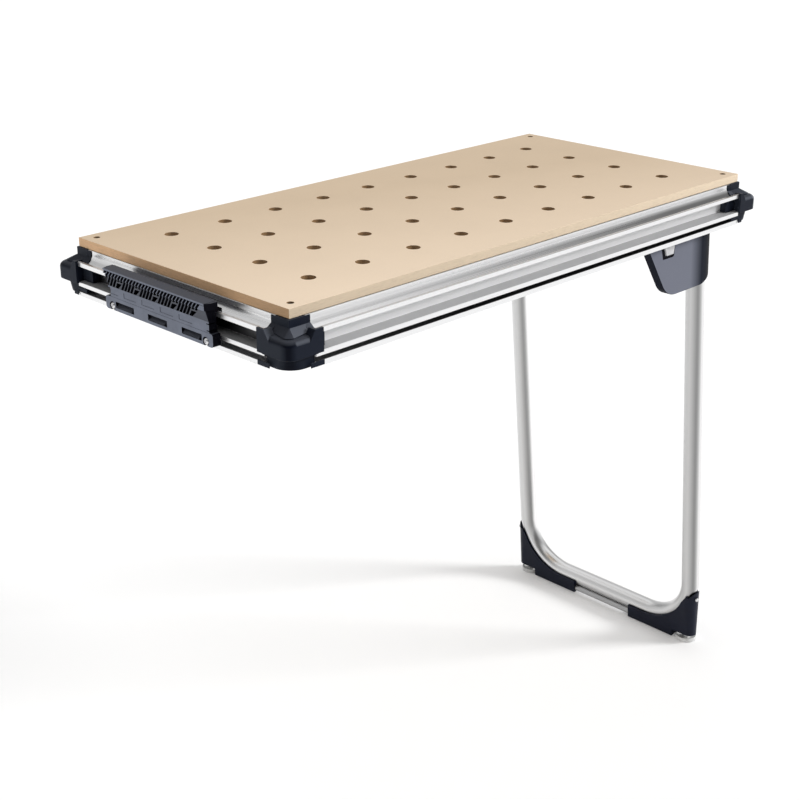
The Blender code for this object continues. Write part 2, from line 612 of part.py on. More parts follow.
def build_hook(parent):
    edge_bottom = HOOK_TOP - HOOK_EDGE_HEIGHT
    rib_bottom = HOOK_TOP - HOOK_RIB_DROP
    lip_seat = LIP_TOP + FIT_GAP
    tongue_slope = LIP_RISE / (LIP_OUT - LIP_WIDTH - GROOVE_OUT)
    tongue_tip = GROOVE_BOTTOM + (HOOK_TONGUE_OUT - GROOVE_OUT) * tongue_slope + HOOK_TONGUE_GAP
    lip_edge = LIP_OUT - LIP_WIDTH
    main = hook_outline([
        (HOOK_BACK_OUT, HOOK_TOP), (HOOK_LEDGE_OUT, HOOK_TOP), (HOOK_LEDGE_OUT, edge_bottom),
        (HOOK_PLATE_OUT, rib_bottom), (HOOK_PLATE_OUT, HOOK_BOTTOM), (HOOK_BACK_OUT, HOOK_BOTTOM),
        (HOOK_BACK_OUT, lip_seat), (lip_edge, lip_seat), (HOOK_TONGUE_OUT, tongue_tip),
        (HOOK_TONGUE_OUT, lip_seat + HOOK_TONGUE_HEIGHT / 2), (lip_edge, lip_seat + HOOK_TONGUE_HEIGHT),
        (HOOK_BACK_OUT, lip_seat + HOOK_TONGUE_HEIGHT),
    ])
    bracket = part("hook_bracket", prism(main, -HOOK_HALF_WIDTH, HOOK_HALF_WIDTH, "XZ"), DARK_PLASTIC, parent)
    back = left_x(HOOK_BACK_OUT)
    front = left_x(HOOK_LEDGE_OUT - WING_PROUD)
    step = left_x(HOOK_BACK_OUT + HOOK_LEDGE_BACK)
    ledge = [(back, HOOK_LEDGE_HALF_WIDTH), (step, HOOK_LEDGE_HALF_WIDTH), (front, HOOK_HALF_WIDTH),
             (front, -HOOK_HALF_WIDTH), (step, -HOOK_LEDGE_HALF_WIDTH), (back, -HOOK_LEDGE_HALF_WIDTH)]
    ledge_top = HOOK_TOP - FIT_GAP
    join(bracket, prism(ledge, HOOK_TOP - HOOK_LEDGE_THICKNESS, ledge_top, "XY"))
    join(bracket, box((back, -HOOK_FLANGE_HALF_WIDTH, HOOK_BOTTOM - WING_PROUD),
                      (left_x(HOOK_PLATE_OUT + WING_PROUD), HOOK_FLANGE_HALF_WIDTH,
                       HOOK_BOTTOM + HOOK_FLANGE_HEIGHT)))
    slot_back = HOOK_PLATE_OUT - RIB_SLOT_DEPTH
    rib_slot = hook_outline([
        (HOOK_LEDGE_OUT + CUT_MARGIN, edge_bottom - WING_PROUD), (slot_back, edge_bottom - WING_PROUD),
        (slot_back, rib_bottom + RIB_SLOT_DEPTH), (HOOK_PLATE_OUT, rib_bottom),
        (HOOK_LEDGE_OUT + CUT_MARGIN, rib_bottom),
    ])
    first = HOOK_HALF_WIDTH - RIB_SLOT_PITCH
    slots = []
    for index in range(RIB_SLOT_COUNT):
        middle = first - index * RIB_SLOT_PITCH
        slots.append(prism(rib_slot, middle - RIB_SLOT_WIDTH / 2, middle + RIB_SLOT_WIDTH / 2, "XZ"))
    cut(bracket, together(slots))
    windows = []
    for step_index in (-1, 0, 1):
        middle = step_index * HOOK_SLOT_PITCH
        windows.append(box((left_x(HOOK_PLATE_OUT + CUT_MARGIN), middle - HOOK_SLOT_LENGTH / 2,
                            HOOK_SLOT_LEVEL - HOOK_SLOT_HEIGHT / 2),
                           (left_x(HOOK_PLATE_OUT - HOOK_SLOT_DEPTH), middle + HOOK_SLOT_LENGTH / 2,
                            HOOK_SLOT_LEVEL + HOOK_SLOT_HEIGHT / 2)))
    cut(bracket, together(windows))
    bolt_hole = HOOK_BOLT_DIAMETER / 2 + BORE_GAP
    bolt_length = HOOK_PLATE_OUT + WING_PROUD + FIT_GAP + HOOK_BOLT_HEAD_HEIGHT - SLOT_OUT - CUT_MARGIN
    profile = [(0, 0), (HOOK_BOLT_HEAD_DIAMETER / 4, 0),
               (HOOK_BOLT_HEAD_DIAMETER / 2, -HOOK_BOLT_HEAD_HEIGHT / 2),
               (HOOK_BOLT_HEAD_DIAMETER / 2, -HOOK_BOLT_HEAD_HEIGHT),
               (HOOK_BOLT_DIAMETER / 2, -HOOK_BOLT_HEAD_HEIGHT),
               (HOOK_BOLT_DIAMETER / 2, -bolt_length), (0, -bolt_length)]
    head_x = left_x(HOOK_PLATE_OUT + WING_PROUD + FIT_GAP + HOOK_BOLT_HEAD_HEIGHT)
    bolt_ys = [side * HOOK_BOLT_SPREAD / 2 for name, side in SIDES]
    cut(bracket, together([rod((left_x(HOOK_PLATE_OUT + CUT_MARGIN), y, HOOK_BOLT_LEVEL),
                               (left_x(LIP_OUT - CUT_MARGIN), y, HOOK_BOLT_LEVEL), bolt_hole, SMALL_SIDES)
                           for y in bolt_ys]))
    for name, side in SIDES:
        y = side * HOOK_BOLT_SPREAD / 2
        turned(f"hook_bolt_{name}", profile, STEEL, parent, (head_x, y, HOOK_BOLT_LEVEL), (-1, 0, 0), SMALL_SIDES)
        nut = part(f"hook_slot_nut_{name}",
                   box((left_x(SLOT_OUT + FIT_GAP), y - SLOT_NUT_LENGTH / 2, SLOT_FLOOR + FIT_GAP),
                       (left_x(LIP_OUT), y + SLOT_NUT_LENGTH / 2, LOWER_LIP_BOTTOM - FIT_GAP)), STEEL, parent)
        cut(nut, rod((left_x(LIP_OUT + CUT_MARGIN), y, HOOK_BOLT_LEVEL),
                     (left_x(SLOT_OUT - CUT_MARGIN), y, HOOK_BOLT_LEVEL), bolt_hole, SMALL_SIDES))


def housing_outline(inset):
    """Side view of a leg housing, with its slanted left edge, round lower corner and lower right chamfer."""
    slope = math.atan2(1, HOUSING_SLANT)
    slant_length = math.hypot(1, HOUSING_SLANT)
    left = PIVOT_X - HOUSING_LEFT + inset * slant_length
    top = HOUSING_TOP - inset
    bottom = HOUSING_BOTTOM + inset
    corner_x = left + HOUSING_SLANT * (HOUSING_TOP - bottom)
    radius = HOUSING_CORNER_RADIUS - inset
    centre = (corner_x + radius * math.tan(slope / 2), bottom + radius)
    corner = arc(centre, radius, 3 * math.pi / 2 - slope, 3 * math.pi / 2, HOUSING_CORNER_STEPS)
    chamfer_left = PIVOT_X - HOUSING_CHAMFER_LEFT
    right = PIVOT_X + HOUSING_CHAMFER_RIGHT - inset
    return [(left + HOUSING_SLANT * (HOUSING_TOP - top), top), *corner, (chamfer_left, bottom),
            (right, bottom + HOUSING_CHAMFER_RISE), (right, top)]


def wrap_plan(side, inset, from_y, to_y):
    """Plan of the housing's rounded right end, between two distances from the table's middle line."""
    radius = HOUSING_WRAP_RADIUS
    centre_x = PIVOT_X - HOUSING_WRAP_LEFT
    centre_y = HOUSING_FACE - radius
    reach = radius - inset
    start = math.asin((from_y - centre_y) / reach)
    stop = math.asin(min(1, (to_y - centre_y) / reach))
    bow = arc((centre_x, centre_y), reach, start, stop, HOUSING_WRAP_STEPS)
    far_left = PIVOT_X - HOUSING_LEFT - CUT_MARGIN
    loop = [(far_left, from_y), *bow, (far_left, bow[-1][1])]
    return [(x, side * y) for x, y in loop]


def lean(mesh):
    """Slide the mesh along X as it goes down, so that it follows the tilted leg."""
    shear = Matrix.Identity(4)
    shear[0][2] = -HOUSING_LEAN
    shift = Matrix.Translation((HOUSING_LEAN * HOUSING_TOP, 0, 0))
    mesh.transform(shift @ shear)
    return mesh


def button_outline(gap):
    top = HOUSING_TOP
    bottom = top - BUTTON_HEIGHT + gap
    left = PIVOT_X - BUTTON_LEFT + gap
    right = PIVOT_X - BUTTON_RIGHT - gap
    return [(left, top), (left + BUTTON_TAPER_LEFT, bottom), (right - BUTTON_TAPER_RIGHT, bottom), (right, top)]


def build_hinge_side(name, side, parent):
    inner_side = HOUSING_FACE - HOUSING_DEPTH
    housing = part(f"leg_housing_{name}",
                   prism(housing_outline(0), side * HOUSING_FACE, side * inner_side, "XZ"), GREY_PLASTIC, parent)
    low = HOUSING_BOTTOM - CUT_MARGIN
    high = HOUSING_TOP + CUT_MARGIN
    outer = prism(wrap_plan(side, 0, inner_side, HOUSING_FACE + CUT_MARGIN), low, high, "XY")
    tool(housing, lean(outer), "INTERSECT")
    void = prism(wrap_plan(side, HOUSING_WALL, inner_side - CUT_MARGIN, HOUSING_INNER), low - CUT_MARGIN,
                 high + CUT_MARGIN, "XY")
    cut(housing, lean(void))
    pocket = [(min(x, PIVOT_X - HOUSING_CHAMFER_LEFT), z) for x, z in housing_outline(HOUSING_WALL)]
    cut(housing, prism(pocket, side * (HOUSING_FACE - HOUSING_WALL), side * (HOUSING_INNER - CUT_MARGIN), "XZ"))
    pin_hole = PIN_DIAMETER / 2 + BORE_GAP
    boss_end = KNUCKLE_OUTER + FIT_GAP
    join(housing, rod((PIVOT_X, side * (HOUSING_INNER + BOSS_ROOT), PIVOT_Z),
                      (PIVOT_X, side * boss_end, PIVOT_Z), BOSS_DIAMETER / 2))
    cut(housing, rod((PIVOT_X, side * HOUSING_INNER, PIVOT_Z),
                     (PIVOT_X, side * (boss_end - CUT_MARGIN), PIVOT_Z), pin_hole))
    opening = button_outline(0)
    notch = [(opening[0][0], high), *opening, (opening[-1][0], high)]
    cut(housing, prism(notch, side * (HOUSING_FACE + CUT_MARGIN), side * (HOUSING_INNER - CUT_MARGIN), "XZ"))

    bracket_top = HOUSING_TOP
    bracket_floor = bracket_top - BRACKET_THICKNESS
    hang_bottom = PIVOT_Z - BRACKET_HANG_BELOW
    bracket = part(f"hinge_bracket_{name}",
                   box((PIVOT_X - BRACKET_LEFT, side * (HOUSING_INNER - FIT_GAP), bracket_floor),
                       (PIVOT_X + BRACKET_RIGHT, side * BRACKET_INNER_Y, bracket_top)), STEEL, parent)
    hang = [(PIVOT_X - BRACKET_HANG_LEFT, bracket_top - BRACKET_THICKNESS / 2),
            (PIVOT_X - BRACKET_HANG_RIGHT, hang_bottom), (PIVOT_X + BRACKET_HANG_RIGHT, hang_bottom),
            (PIVOT_X + BRACKET_HANG_RIGHT, bracket_top - BRACKET_THICKNESS / 2)]
    join(bracket, prism(hang, side * BRACKET_OUTER_Y, side * (BRACKET_INNER_Y + WING_PROUD), "XZ"))
    cut(bracket, rod((PIVOT_X, side * (BRACKET_OUTER_Y + CUT_MARGIN), PIVOT_Z),
                     (PIVOT_X, side * (BRACKET_INNER_Y - CUT_MARGIN), PIVOT_Z), pin_hole))
    screw_hole = HINGE_SCREW_DIAMETER / 2 + BORE_GAP
    y = side * HINGE_SCREW_Y
    cut(bracket, together([rod((x, y, bracket_floor - CUT_MARGIN), (x, y, bracket_top + CUT_MARGIN),
                               screw_hole, SMALL_SIDES) for x in hinge_screw_xs()]))
    screw_length = HINGE_SCREW_HEAD_HEIGHT + BRACKET_THICKNESS + 2 * FIT_GAP + RAIL_WALL
    profile = headed_profile(HINGE_SCREW_HEAD_DIAMETER / 2, HINGE_SCREW_HEAD_HEIGHT,
                             HINGE_SCREW_DIAMETER / 2, screw_length)
    for number, x in enumerate(hinge_screw_xs(), start=1):
        place = (x, y, bracket_floor - FIT_GAP - HINGE_SCREW_HEAD_HEIGHT)
        turned(f"hinge_screw_{name}_{number}", profile, STEEL, parent, place, (0, 0, -1), SMALL_SIDES)

    pin_end = HOUSING_INNER - FIT_GAP
    head_y = BRACKET_INNER_Y - FIT_GAP - PIN_HEAD_HEIGHT
    profile = headed_profile(PIN_HEAD_DIAMETER / 2, PIN_HEAD_HEIGHT, PIN_DIAMETER / 2, pin_end - head_y)
    turned(f"pivot_pin_{name}", profile, STEEL, parent, (PIVOT_X, side * head_y, PIVOT_Z), (0, -side, 0))

    washer = part(f"pivot_washer_{name}",
                  rod((PIVOT_X, side * (KNUCKLE_INNER - FIT_GAP), PIVOT_Z),
                      (PIVOT_X, side * (BRACKET_OUTER_Y + FIT_GAP), PIVOT_Z), WASHER_DIAMETER / 2),
                  GREY_PLASTIC, parent)
    cut(washer, rod((PIVOT_X, side * (KNUCKLE_INNER + CUT_MARGIN), PIVOT_Z),
                    (PIVOT_X, side * (BRACKET_OUTER_Y - CUT_MARGIN), PIVOT_Z), pin_hole))


def build_button(name, side, parent):
    face = HOUSING_FACE + BUTTON_PROUD
    place = Vector((PIVOT_X - (BUTTON_LEFT + BUTTON_RIGHT) / 2, side * face, HOUSING_TOP - BUTTON_HEIGHT / 2))
    slide = empty(f"release_{name}_slide", place, parent)
    offset = Matrix.Translation(-place)
    flange_front = HOUSING_FACE - HOUSING_WALL - FIT_GAP
    tab = [(x, z - (FIT_GAP if z == HOUSING_TOP else 0)) for x, z in button_outline(BUTTON_GAP)]
    body = prism(tab, side * face, side * (face - BUTTON_DEPTH), "XZ")
    body.transform(offset)
    button = part(f"release_button_{name}", body, ALUMINIUM_GREY, slide)
    left = PIVOT_X - BUTTON_LEFT - BUTTON_FLANGE_LIP
    right = PIVOT_X - BUTTON_RIGHT + BUTTON_FLANGE_LIP
    flange = box((left, side * flange_front, HOUSING_TOP - BUTTON_HEIGHT - BUTTON_FLANGE_LIP),
                 (right, side * (flange_front - BUTTON_FLANGE), HOUSING_TOP - HOUSING_WALL - FIT_GAP))
    flange.transform(offset)
    join(button, flange)


def leg_path():
    """Middle line of the bent tube, in the leg's own frame: pivot at the origin, the leg straight down."""
    top = -KNUCKLE_NECK
    bottom = -CROSSBAR_REACH
    bend_y = LEG_Y - BEND_RADIUS
    bend_z = bottom + BEND_RADIUS
    front_bend = arc((-bend_y, bend_z), BEND_RADIUS, math.pi, 3 * math.pi / 2, BEND_STEPS)
    rear_bend = arc((bend_y, bend_z), BEND_RADIUS, 3 * math.pi / 2, 2 * math.pi, BEND_STEPS)
    flat = [(-LEG_Y, top), *front_bend, *rear_bend, (LEG_Y, top)]
    return [(0, y, z) for y, z in flat]


def lengthened(path, extra):
    """The path with both ends carried on upward."""
    first = Vector(path[0]) + Vector((0, 0, extra))
    last = Vector(path[-1]) + Vector((0, 0, extra))
    return [tuple(first), *path[1:-1], tuple(last)]


def cap_screw_z():
    return -CROSSBAR_REACH + CAP_TIP_RISE - CAP_SCREW_DROP


def foot_rail_centre():
    reach = TUBE_RADIUS + FOOT_RAIL_DIAMETER / 2 + FIT_GAP
    return -reach * math.sin(FOOT_RAIL_ANGLE), -CROSSBAR_REACH - reach * math.cos(FOOT_RAIL_ANGLE)


def build_leg(leg):
    path = leg_path()
    tube = part("leg_tube", tube_along(path, TUBE_RADIUS), ALUMINIUM, leg)
    cut(tube, tube_along(lengthened(path, CUT_MARGIN), TUBE_RADIUS - LEG_TUBE_WALL))
    screw_hole = CAP_SCREW_DIAMETER / 2 + BORE_GAP
    screw_x = -CAP_SCREW_FORWARD
    cut(tube, together([rod((screw_x, side * (LEG_Y + TUBE_RADIUS - CAP_SCREW_LENGTH), cap_screw_z()),
                            (screw_x, side * (LEG_Y + TUBE_RADIUS + CUT_MARGIN), cap_screw_z()),
                            screw_hole, SMALL_SIDES) for name, side in SIDES]))
    rail_x, rail_z = foot_rail_centre()
    rail_end = CAP_INNER_REACH + FOOT_RAIL_ENTRY
    part("foot_rail", rod((rail_x, -rail_end, rail_z), (rail_x, rail_end, rail_z), FOOT_RAIL_DIAMETER / 2),
         ALUMINIUM, leg)
    for name, side in SIDES:
        build_knuckle(name, side, leg)
        build_cap(name, side, leg)


def build_knuckle(name, side, leg):
    neck = -KNUCKLE_NECK + FIT_GAP
    top = arc((0, 0), KNUCKLE_RADIUS, 0, math.pi, ROUND_SIDES // 2)
    outline = [*top, (-KNUCKLE_RADIUS, neck), (KNUCKLE_RADIUS, neck)]
    block = part(f"leg_knuckle_{name}", prism(outline, side * KNUCKLE_OUTER, side * KNUCKLE_INNER, "XZ"),
                 DARK_PLASTIC, leg)
    flat_radius = (TUBE_RADIUS - LEG_TUBE_WALL) * math.cos(math.pi / TUBE_SIDES)
    spigot = flat_radius - BORE_GAP
    join(block, rod((0, side * LEG_Y, neck - KNUCKLE_SPIGOT), (0, side * LEG_Y, neck + CUT_MARGIN), spigot))
    cut(block, rod((0, side * (KNUCKLE_OUTER + CUT_MARGIN), 0), (0, side * (KNUCKLE_INNER - CUT_MARGIN), 0),
                   PIN_DIAMETER / 2 + BORE_GAP))


def cap_outline():
    """Cap seen along X: outside edge, lower corner, inner end, then back just past the tube's middle line."""
    outer = LEG_Y + TUBE_RADIUS + CAP_SKIN + CUT_MARGIN
    rail_x, rail_z = foot_rail_centre()
    bottom = rail_z - FOOT_RAIL_DIAMETER / 2 - CAP_BOTTOM_SKIN
    tip = -CROSSBAR_REACH + CAP_TIP_RISE
    past_middle = CAP_SKIN / 2
    bend = arc((LEG_Y - BEND_RADIUS, -CROSSBAR_REACH + BEND_RADIUS), BEND_RADIUS + past_middle,
               3 * math.pi / 2, 2 * math.pi, CAP_BEND_STEPS)
    shoulder = tip - CAP_SHOULDER_DROP
    rising = [(y, z) for y, z in bend if z < shoulder - CAP_CORNER]
    return [(outer, tip), (outer, bottom + CAP_CORNER), (outer - CAP_CORNER - CAP_TAPER - CUT_MARGIN, bottom),
            (CAP_INNER_REACH, bottom), (CAP_INNER_REACH, bend[0][1]), *rising,
            (LEG_Y, shoulder), (LEG_Y + TUBE_RADIUS / 2, shoulder), (outer - CAP_SKIN - CUT_MARGIN, tip)]


def cap_ring(side, back, outer, height):
    """Round-ended plan of a cap at one height."""
    radius = (CAP_FRONT + back) / 2
    middle = (back - CAP_FRONT) / 2
    end = arc((middle, outer - radius), radius, 0, math.pi, CAP_END_STEPS)
    return [(x, side * y, height) for x, y in [(middle + radius, 0), *end, (middle - radius, 0)]]


def cap_envelope(side):
    """Body that trims a cap: round at the outer end, and drawn in at the back and outside as it goes down."""
    back = TUBE_RADIUS + CAP_SKIN
    outer = LEG_Y + back
    rail_x, rail_z = foot_rail_centre()
    low = cap_ring(side, back - CAP_BACK_TAPER, outer - CAP_TAPER, rail_z - FOOT_RAIL_DIAMETER)
    high = cap_ring(side, back, outer, -CROSSBAR_REACH + CAP_TIP_RISE + CUT_MARGIN)
    return loft([low, high], "envelope")


def build_cap(name, side, leg):
    outline = [(side * y, z) for y, z in cap_outline()]
    back = TUBE_RADIUS + CAP_SKIN + CUT_MARGIN
    cap = part(f"foot_cap_{name}", prism(outline, -CAP_FRONT - CUT_MARGIN, back, "YZ"), DARK_PLASTIC, leg)
    tool(cap, cap_envelope(side), "INTERSECT")
    cut(cap, tube_along(leg_path(), TUBE_RADIUS + FIT_GAP))
    rail_x, rail_z = foot_rail_centre()
    cut(cap, rod((rail_x, side * (CAP_INNER_REACH - CUT_MARGIN), rail_z),
                 (rail_x, side * (CAP_INNER_REACH + FOOT_RAIL_ENTRY + FIT_GAP), rail_z),
                 FOOT_RAIL_DIAMETER / 2 + BORE_GAP))
    wall = LEG_Y + TUBE_RADIUS
    screw_hole = CAP_SCREW_DIAMETER / 2 + BORE_GAP
    screw_x = -CAP_SCREW_FORWARD
    cut(cap, rod((screw_x, side * (wall - CAP_SCREW_LENGTH), cap_screw_z()),
                 (screw_x, side * (wall + CAP_SKIN + CUT_MARGIN), cap_screw_z()), screw_hole, SMALL_SIDES))
    floor = -TABLE_HEIGHT
    recess = rod((PAD_X, side * PAD_Y, floor - CUT_MARGIN), (PAD_X, side * PAD_Y, floor + PAD_HEIGHT + BORE_GAP),
                 PAD_DIAMETER / 2 + BORE_GAP)
    socket = rod((PAD_X, side * PAD_Y, floor), (PAD_X, side * PAD_Y, floor + PAD_HEIGHT + STEM_LENGTH + BORE_GAP),
                 STEM_DIAMETER / 2 + BORE_GAP, HOLE_SIDES)
    for mesh in (recess, socket):
        mesh.transform(LEG_FRAME.inverted())
        cut(cap, mesh)
    profile = headed_profile(CAP_SCREW_HEAD_DIAMETER / 2, CAP_SCREW_HEAD_HEIGHT, CAP_SCREW_DIAMETER / 2,
                             CAP_SCREW_LENGTH)
    head = wall + CAP_SKIN + FIT_GAP + CAP_SCREW_HEAD_HEIGHT
    turned(f"cap_screw_{name}", profile, STEEL, leg, (screw_x, side * head, cap_screw_z()), (0, side, 0),
           SMALL_SIDES)


def build_foot(name, side, parent):
    """Levelling foot: a round pad with a neck, and the threaded stem that screws into the cap."""
    slide = empty(f"level_{name}_slide", (PAD_X, side * PAD_Y, -TABLE_HEIGHT), parent)
    neck = PAD_NECK_DIAMETER / 2
    socket = STEM_DIAMETER / 2 + BORE_GAP
    pad = [(0, STEM_SOCKET), (socket, STEM_SOCKET), (socket, PAD_HEIGHT), (neck, PAD_HEIGHT),
           (PAD_DIAMETER / 2, PAD_RIM_HEIGHT), (PAD_DIAMETER / 2, 0), (0, 0)]
    turned(f"level_foot_{name}", pad, PALE_PLASTIC, slide, (0, 0, 0), (0, 0, 1), PAD_SIDES)
    bottom = STEM_SOCKET + FIT_GAP
    top = PAD_HEIGHT + STEM_LENGTH
    stem = [(0, top), (STEM_DIAMETER / 2, top), (STEM_DIAMETER / 2, bottom), (0, bottom)]
    turned(f"foot_stem_{name}", stem, STEEL, slide, (0, 0, 0), (0, 0, 1), HOLE_SIDES)


for old in list(bpy.data.objects):
    bpy.data.objects.remove(old, do_unlink=True)
PARTS = new_collection("work_table")
CUTTERS = new_collection("cutters")
WOOD = material("wood_fibre_board", (0.66, 0.50, 0.34), 0.6, 0.0)
ALUMINIUM = material("anodised_aluminium", (0.75, 0.75, 0.76), 0.3, 1.0)
ALUMINIUM_GREY = material("silver_plastic", (0.55, 0.55, 0.55), 0.4, 0.3)
STEEL = material("zinc_steel", (0.65, 0.65, 0.66), 0.3, 1.0)
DARK_PLASTIC = material("dark_plastic", (0.014, 0.016, 0.024), 0.45, 0.0)
GREY_PLASTIC = material("housing_plastic", (0.05, 0.055, 0.07), 0.3, 0.0)
PALE_PLASTIC = material("pale_plastic", (0.6, 0.6, 0.57), 0.5, 0.0)

ORIGIN = empty("table_origin", (ORIGIN_SHIFT, 0, TABLE_HEIGHT), None)
LEG = empty("leg_pivot", (PIVOT_X, 0, PIVOT_Z), ORIGIN)
LEG.rotation_euler.y = -LEG_TILT
LEG_FRAME = Matrix.Translation((PIVOT_X, 0, PIVOT_Z)) @ Matrix.Rotation(-LEG_TILT, 4, "Y")
build_top(ORIGIN)
build_rails(ORIGIN)
build_corners(ORIGIN)
build_hook(ORIGIN)
build_leg(LEG)
for side_name, side_sign in SIDES:
    build_hinge_side(side_name, side_sign, ORIGIN)
    build_button(side_name, side_sign, ORIGIN)
    build_foot(side_name, side_sign, ORIGIN)
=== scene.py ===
"""Dressed model of a multi-purpose work table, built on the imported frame.

Metres, in the frame's own axes. Pieces of the table are drawn with the middle of the top face as their
origin, heights negative below it, and then moved to the place that the frame gives. Pieces of the leg are
drawn with the hinge as origin and the leg straight down. "Out" is a distance outward from the plate's
edge, "run" a distance along a rail from the plate's corner.
"""
import math
import bmesh
import bpy
from mathutils import Matrix, Vector


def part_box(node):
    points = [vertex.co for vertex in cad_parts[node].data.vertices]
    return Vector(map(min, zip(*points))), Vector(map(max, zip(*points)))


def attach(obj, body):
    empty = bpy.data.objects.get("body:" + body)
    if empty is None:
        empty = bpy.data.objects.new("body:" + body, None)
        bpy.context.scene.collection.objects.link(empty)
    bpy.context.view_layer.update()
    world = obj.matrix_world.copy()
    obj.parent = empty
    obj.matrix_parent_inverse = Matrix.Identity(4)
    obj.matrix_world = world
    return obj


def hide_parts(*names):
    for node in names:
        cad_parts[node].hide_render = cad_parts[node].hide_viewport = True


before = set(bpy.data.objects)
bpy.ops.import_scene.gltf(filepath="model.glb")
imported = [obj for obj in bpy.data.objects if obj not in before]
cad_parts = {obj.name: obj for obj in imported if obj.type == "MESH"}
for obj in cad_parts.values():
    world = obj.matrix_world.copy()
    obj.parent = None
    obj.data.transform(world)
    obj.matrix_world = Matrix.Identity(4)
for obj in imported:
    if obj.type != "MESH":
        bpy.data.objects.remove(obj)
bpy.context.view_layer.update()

# Places read from the frame
PLATE_LOW, PLATE_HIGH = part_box("perforated_top")
HALF_LENGTH = (PLATE_HIGH.x - PLATE_LOW.x) / 2
HALF_WIDTH = (PLATE_HIGH.y - PLATE_LOW.y) / 2
PLATE_THICKNESS = PLATE_HIGH.z - PLATE_LOW.z
TABLE_HEIGHT = PLATE_HIGH.z
TABLE = Matrix.Translation(((PLATE_HIGH.x + PLATE_LOW.x) / 2, 0, TABLE_HEIGHT))
FRONT = -1
REAR = 1
SIDES = (("front", FRONT), ("rear", REAR))
LEFT = -1
RIGHT = 1
ENDS = (("left", LEFT), ("right", RIGHT))
X_AXIS = (1.0, 0.0, 0.0)
Y_AXIS = (0.0, 1.0, 0.0)
Z_AXIS = (0.0, 0.0, 1.0)
FIT_GAP = 0.0003

# Drawing of shapes
PLANE_AXES = {"XY": (0, 1, 2), "XZ": (0, 2, 1), "YZ": (2, 0, 1)}
SHARP_ANGLE = math.radians(32.0)
WELD_DISTANCE = 0.000003
ROUND_STEPS = 5
ROUND_SHARE = 0.49
TURNED_SIDES = 32
HEXAGON = 6

# Top plate
DOG_HOLE_DIAMETER = 0.020
DOG_HOLE_PITCH = 0.096
DOG_HOLE_COLUMNS = 9
DOG_HOLE_ROWS = 4
DOG_HOLE_SIDES = 48
TOP_FACING = 0.5
PLATE_EDGE = 0.0005
SCREW_INSET = 0.018
SCREW_HOLE_DIAMETER = 0.0094
SCREW_SEAT = 0.005
SCREW_HOLE_SIDES = 24

# Rail section
BAND_OUT = 0.0012
BAND_HEIGHT = 0.0111
GROOVE_OUT = 0.009
GROOVE_DROP = 0.0066
LIP_OUT = 0.021
LIP_WIDTH = 0.0045
LIP_RISE = 0.0047
LIP_HEIGHT = 0.0065
CHANNEL_HEIGHT = 0.0227
LOWER_LIP_HEIGHT = 0.006
SLOT_OUT = 0.009
SLOT_HEIGHT = 0.008
LONG_SLOT_TRIM = 0.001
FLANGE_HEIGHT = 0.0065
RAIL_WALL = 0.003
FLANGE_IN = 0.0235
LEDGE_IN = 0.018
RAIL_END_RUN = 0.024
EDGE_ROUND = 0.0005
VALLEY_ROUND = 0.0012
BAND_ROUND = 0.0105
# The channel and slot looks paint shade and light on the rail's aluminium
RAIL_PARTS = ("outside", "floor", "slot", "wall")
LONG_RAIL_LOOKS = ("aluminium_along_x", "aluminium_channel_floor", "aluminium_slot",
                   "aluminium_channel_wall")
END_RAIL_LOOKS = ("aluminium_along_y", "aluminium_end_floor", "aluminium_slot", "aluminium_end_channel")

# Corner blocks
COLLAR_OUT = 0.0025
COLLAR_RUN = 0.0318
COLLAR_BOTTOM = -0.0235
COVER_REACH = 0.0101
COVER_DROP = 0.0060
COVER_EDGE = 0.0008
BROW_OUT = 0.0160
BROW_RADIUS = 0.0090
BROW_HEIGHT = -0.0312
BROW_STEP = 0.0010
BUMPER_OUT = 0.025
BUMPER_RADIUS = 0.015
BUMPER_TOP = -0.0400
BUMPER_BOTTOM = -0.0568
DOME_STEPS = 6
NECK_OUT = 0.0172
NECK_RADIUS = 0.0165
FOOT_LIP_OUT = 0.0175
FOOT_LIP_RADIUS = 0.0260
FOOT_LIP_BOTTOM = -0.0740
WING_RUN = 0.0255
NEAR_WING_RUN = 0.0330
WING_EAR_RUN = 0.0192
WING_ROOT_RUN = 0.0097
WING_INNER_OUT = 0.0120
WING_BOTTOM = -0.0560
EAR_TOP = -0.0245
TAB_RUN = 0.0235
NEAR_TAB_RUN = 0.0360
TAB_ROOT_RUN = 0.0135
TAB_OUT = 0.0226
TAB_TOP = -0.0672
TAB_BOTTOM = -0.0740
STRIP_RUN = 0.0425
STRIP_CLEAR = 0.0013
INSERT_RUN = 0.046
INSERT_OUT = 0.012
CORNER_STEPS = 20
CORNER_EDGE = 0.0006

# Hook bracket; slots of the comb lean along the rail as they go down
HOOK_PLATE_OUT = 0.0335
HOOK_LEDGE_OUT = 0.0402
HOOK_BACK_OUT = LIP_OUT + FIT_GAP
HOOK_TOP = -0.011
HOOK_EDGE_HEIGHT = 0.0024
HOOK_LEDGE_BOTTOM = -0.0206
HOOK_LEDGE_HALF_WIDTH = 0.112
HOOK_LEDGE_STEP_OUT = 0.031
HOOK_BOTTOM = -0.069
HOOK_HALF_WIDTH = 0.108
HOOK_TONGUE_OUT = 0.0116
HOOK_TONGUE_HEIGHT = 0.0055
HOOK_TONGUE_GAP = 0.0006
HOOK_FLANGE_HALF_WIDTH = 0.115
HOOK_FLANGE_TOP = -0.051
HOOK_FLANGE_RADIUS = 0.004
COMB_BOTTOM = -0.0364
COMB_GROUPS = 5
COMB_GROUP_PITCH = 0.0399
COMB_GROUP_SLOTS = 6
COMB_LONG_SLOTS = 4
COMB_LEAD_SLOTS = (-2, -1)
COMB_FIRST_Y = 0.0949
COMB_LEAN = 0.0205
COMB_SLOT_SHARE = 0.74
COMB_SLOT_DEPTH = 0.0075
COMB_SHORT_END = 0.50
COMB_POCKET_START = 0.60
COMB_POCKET_TOP = (3.75, 5.35)
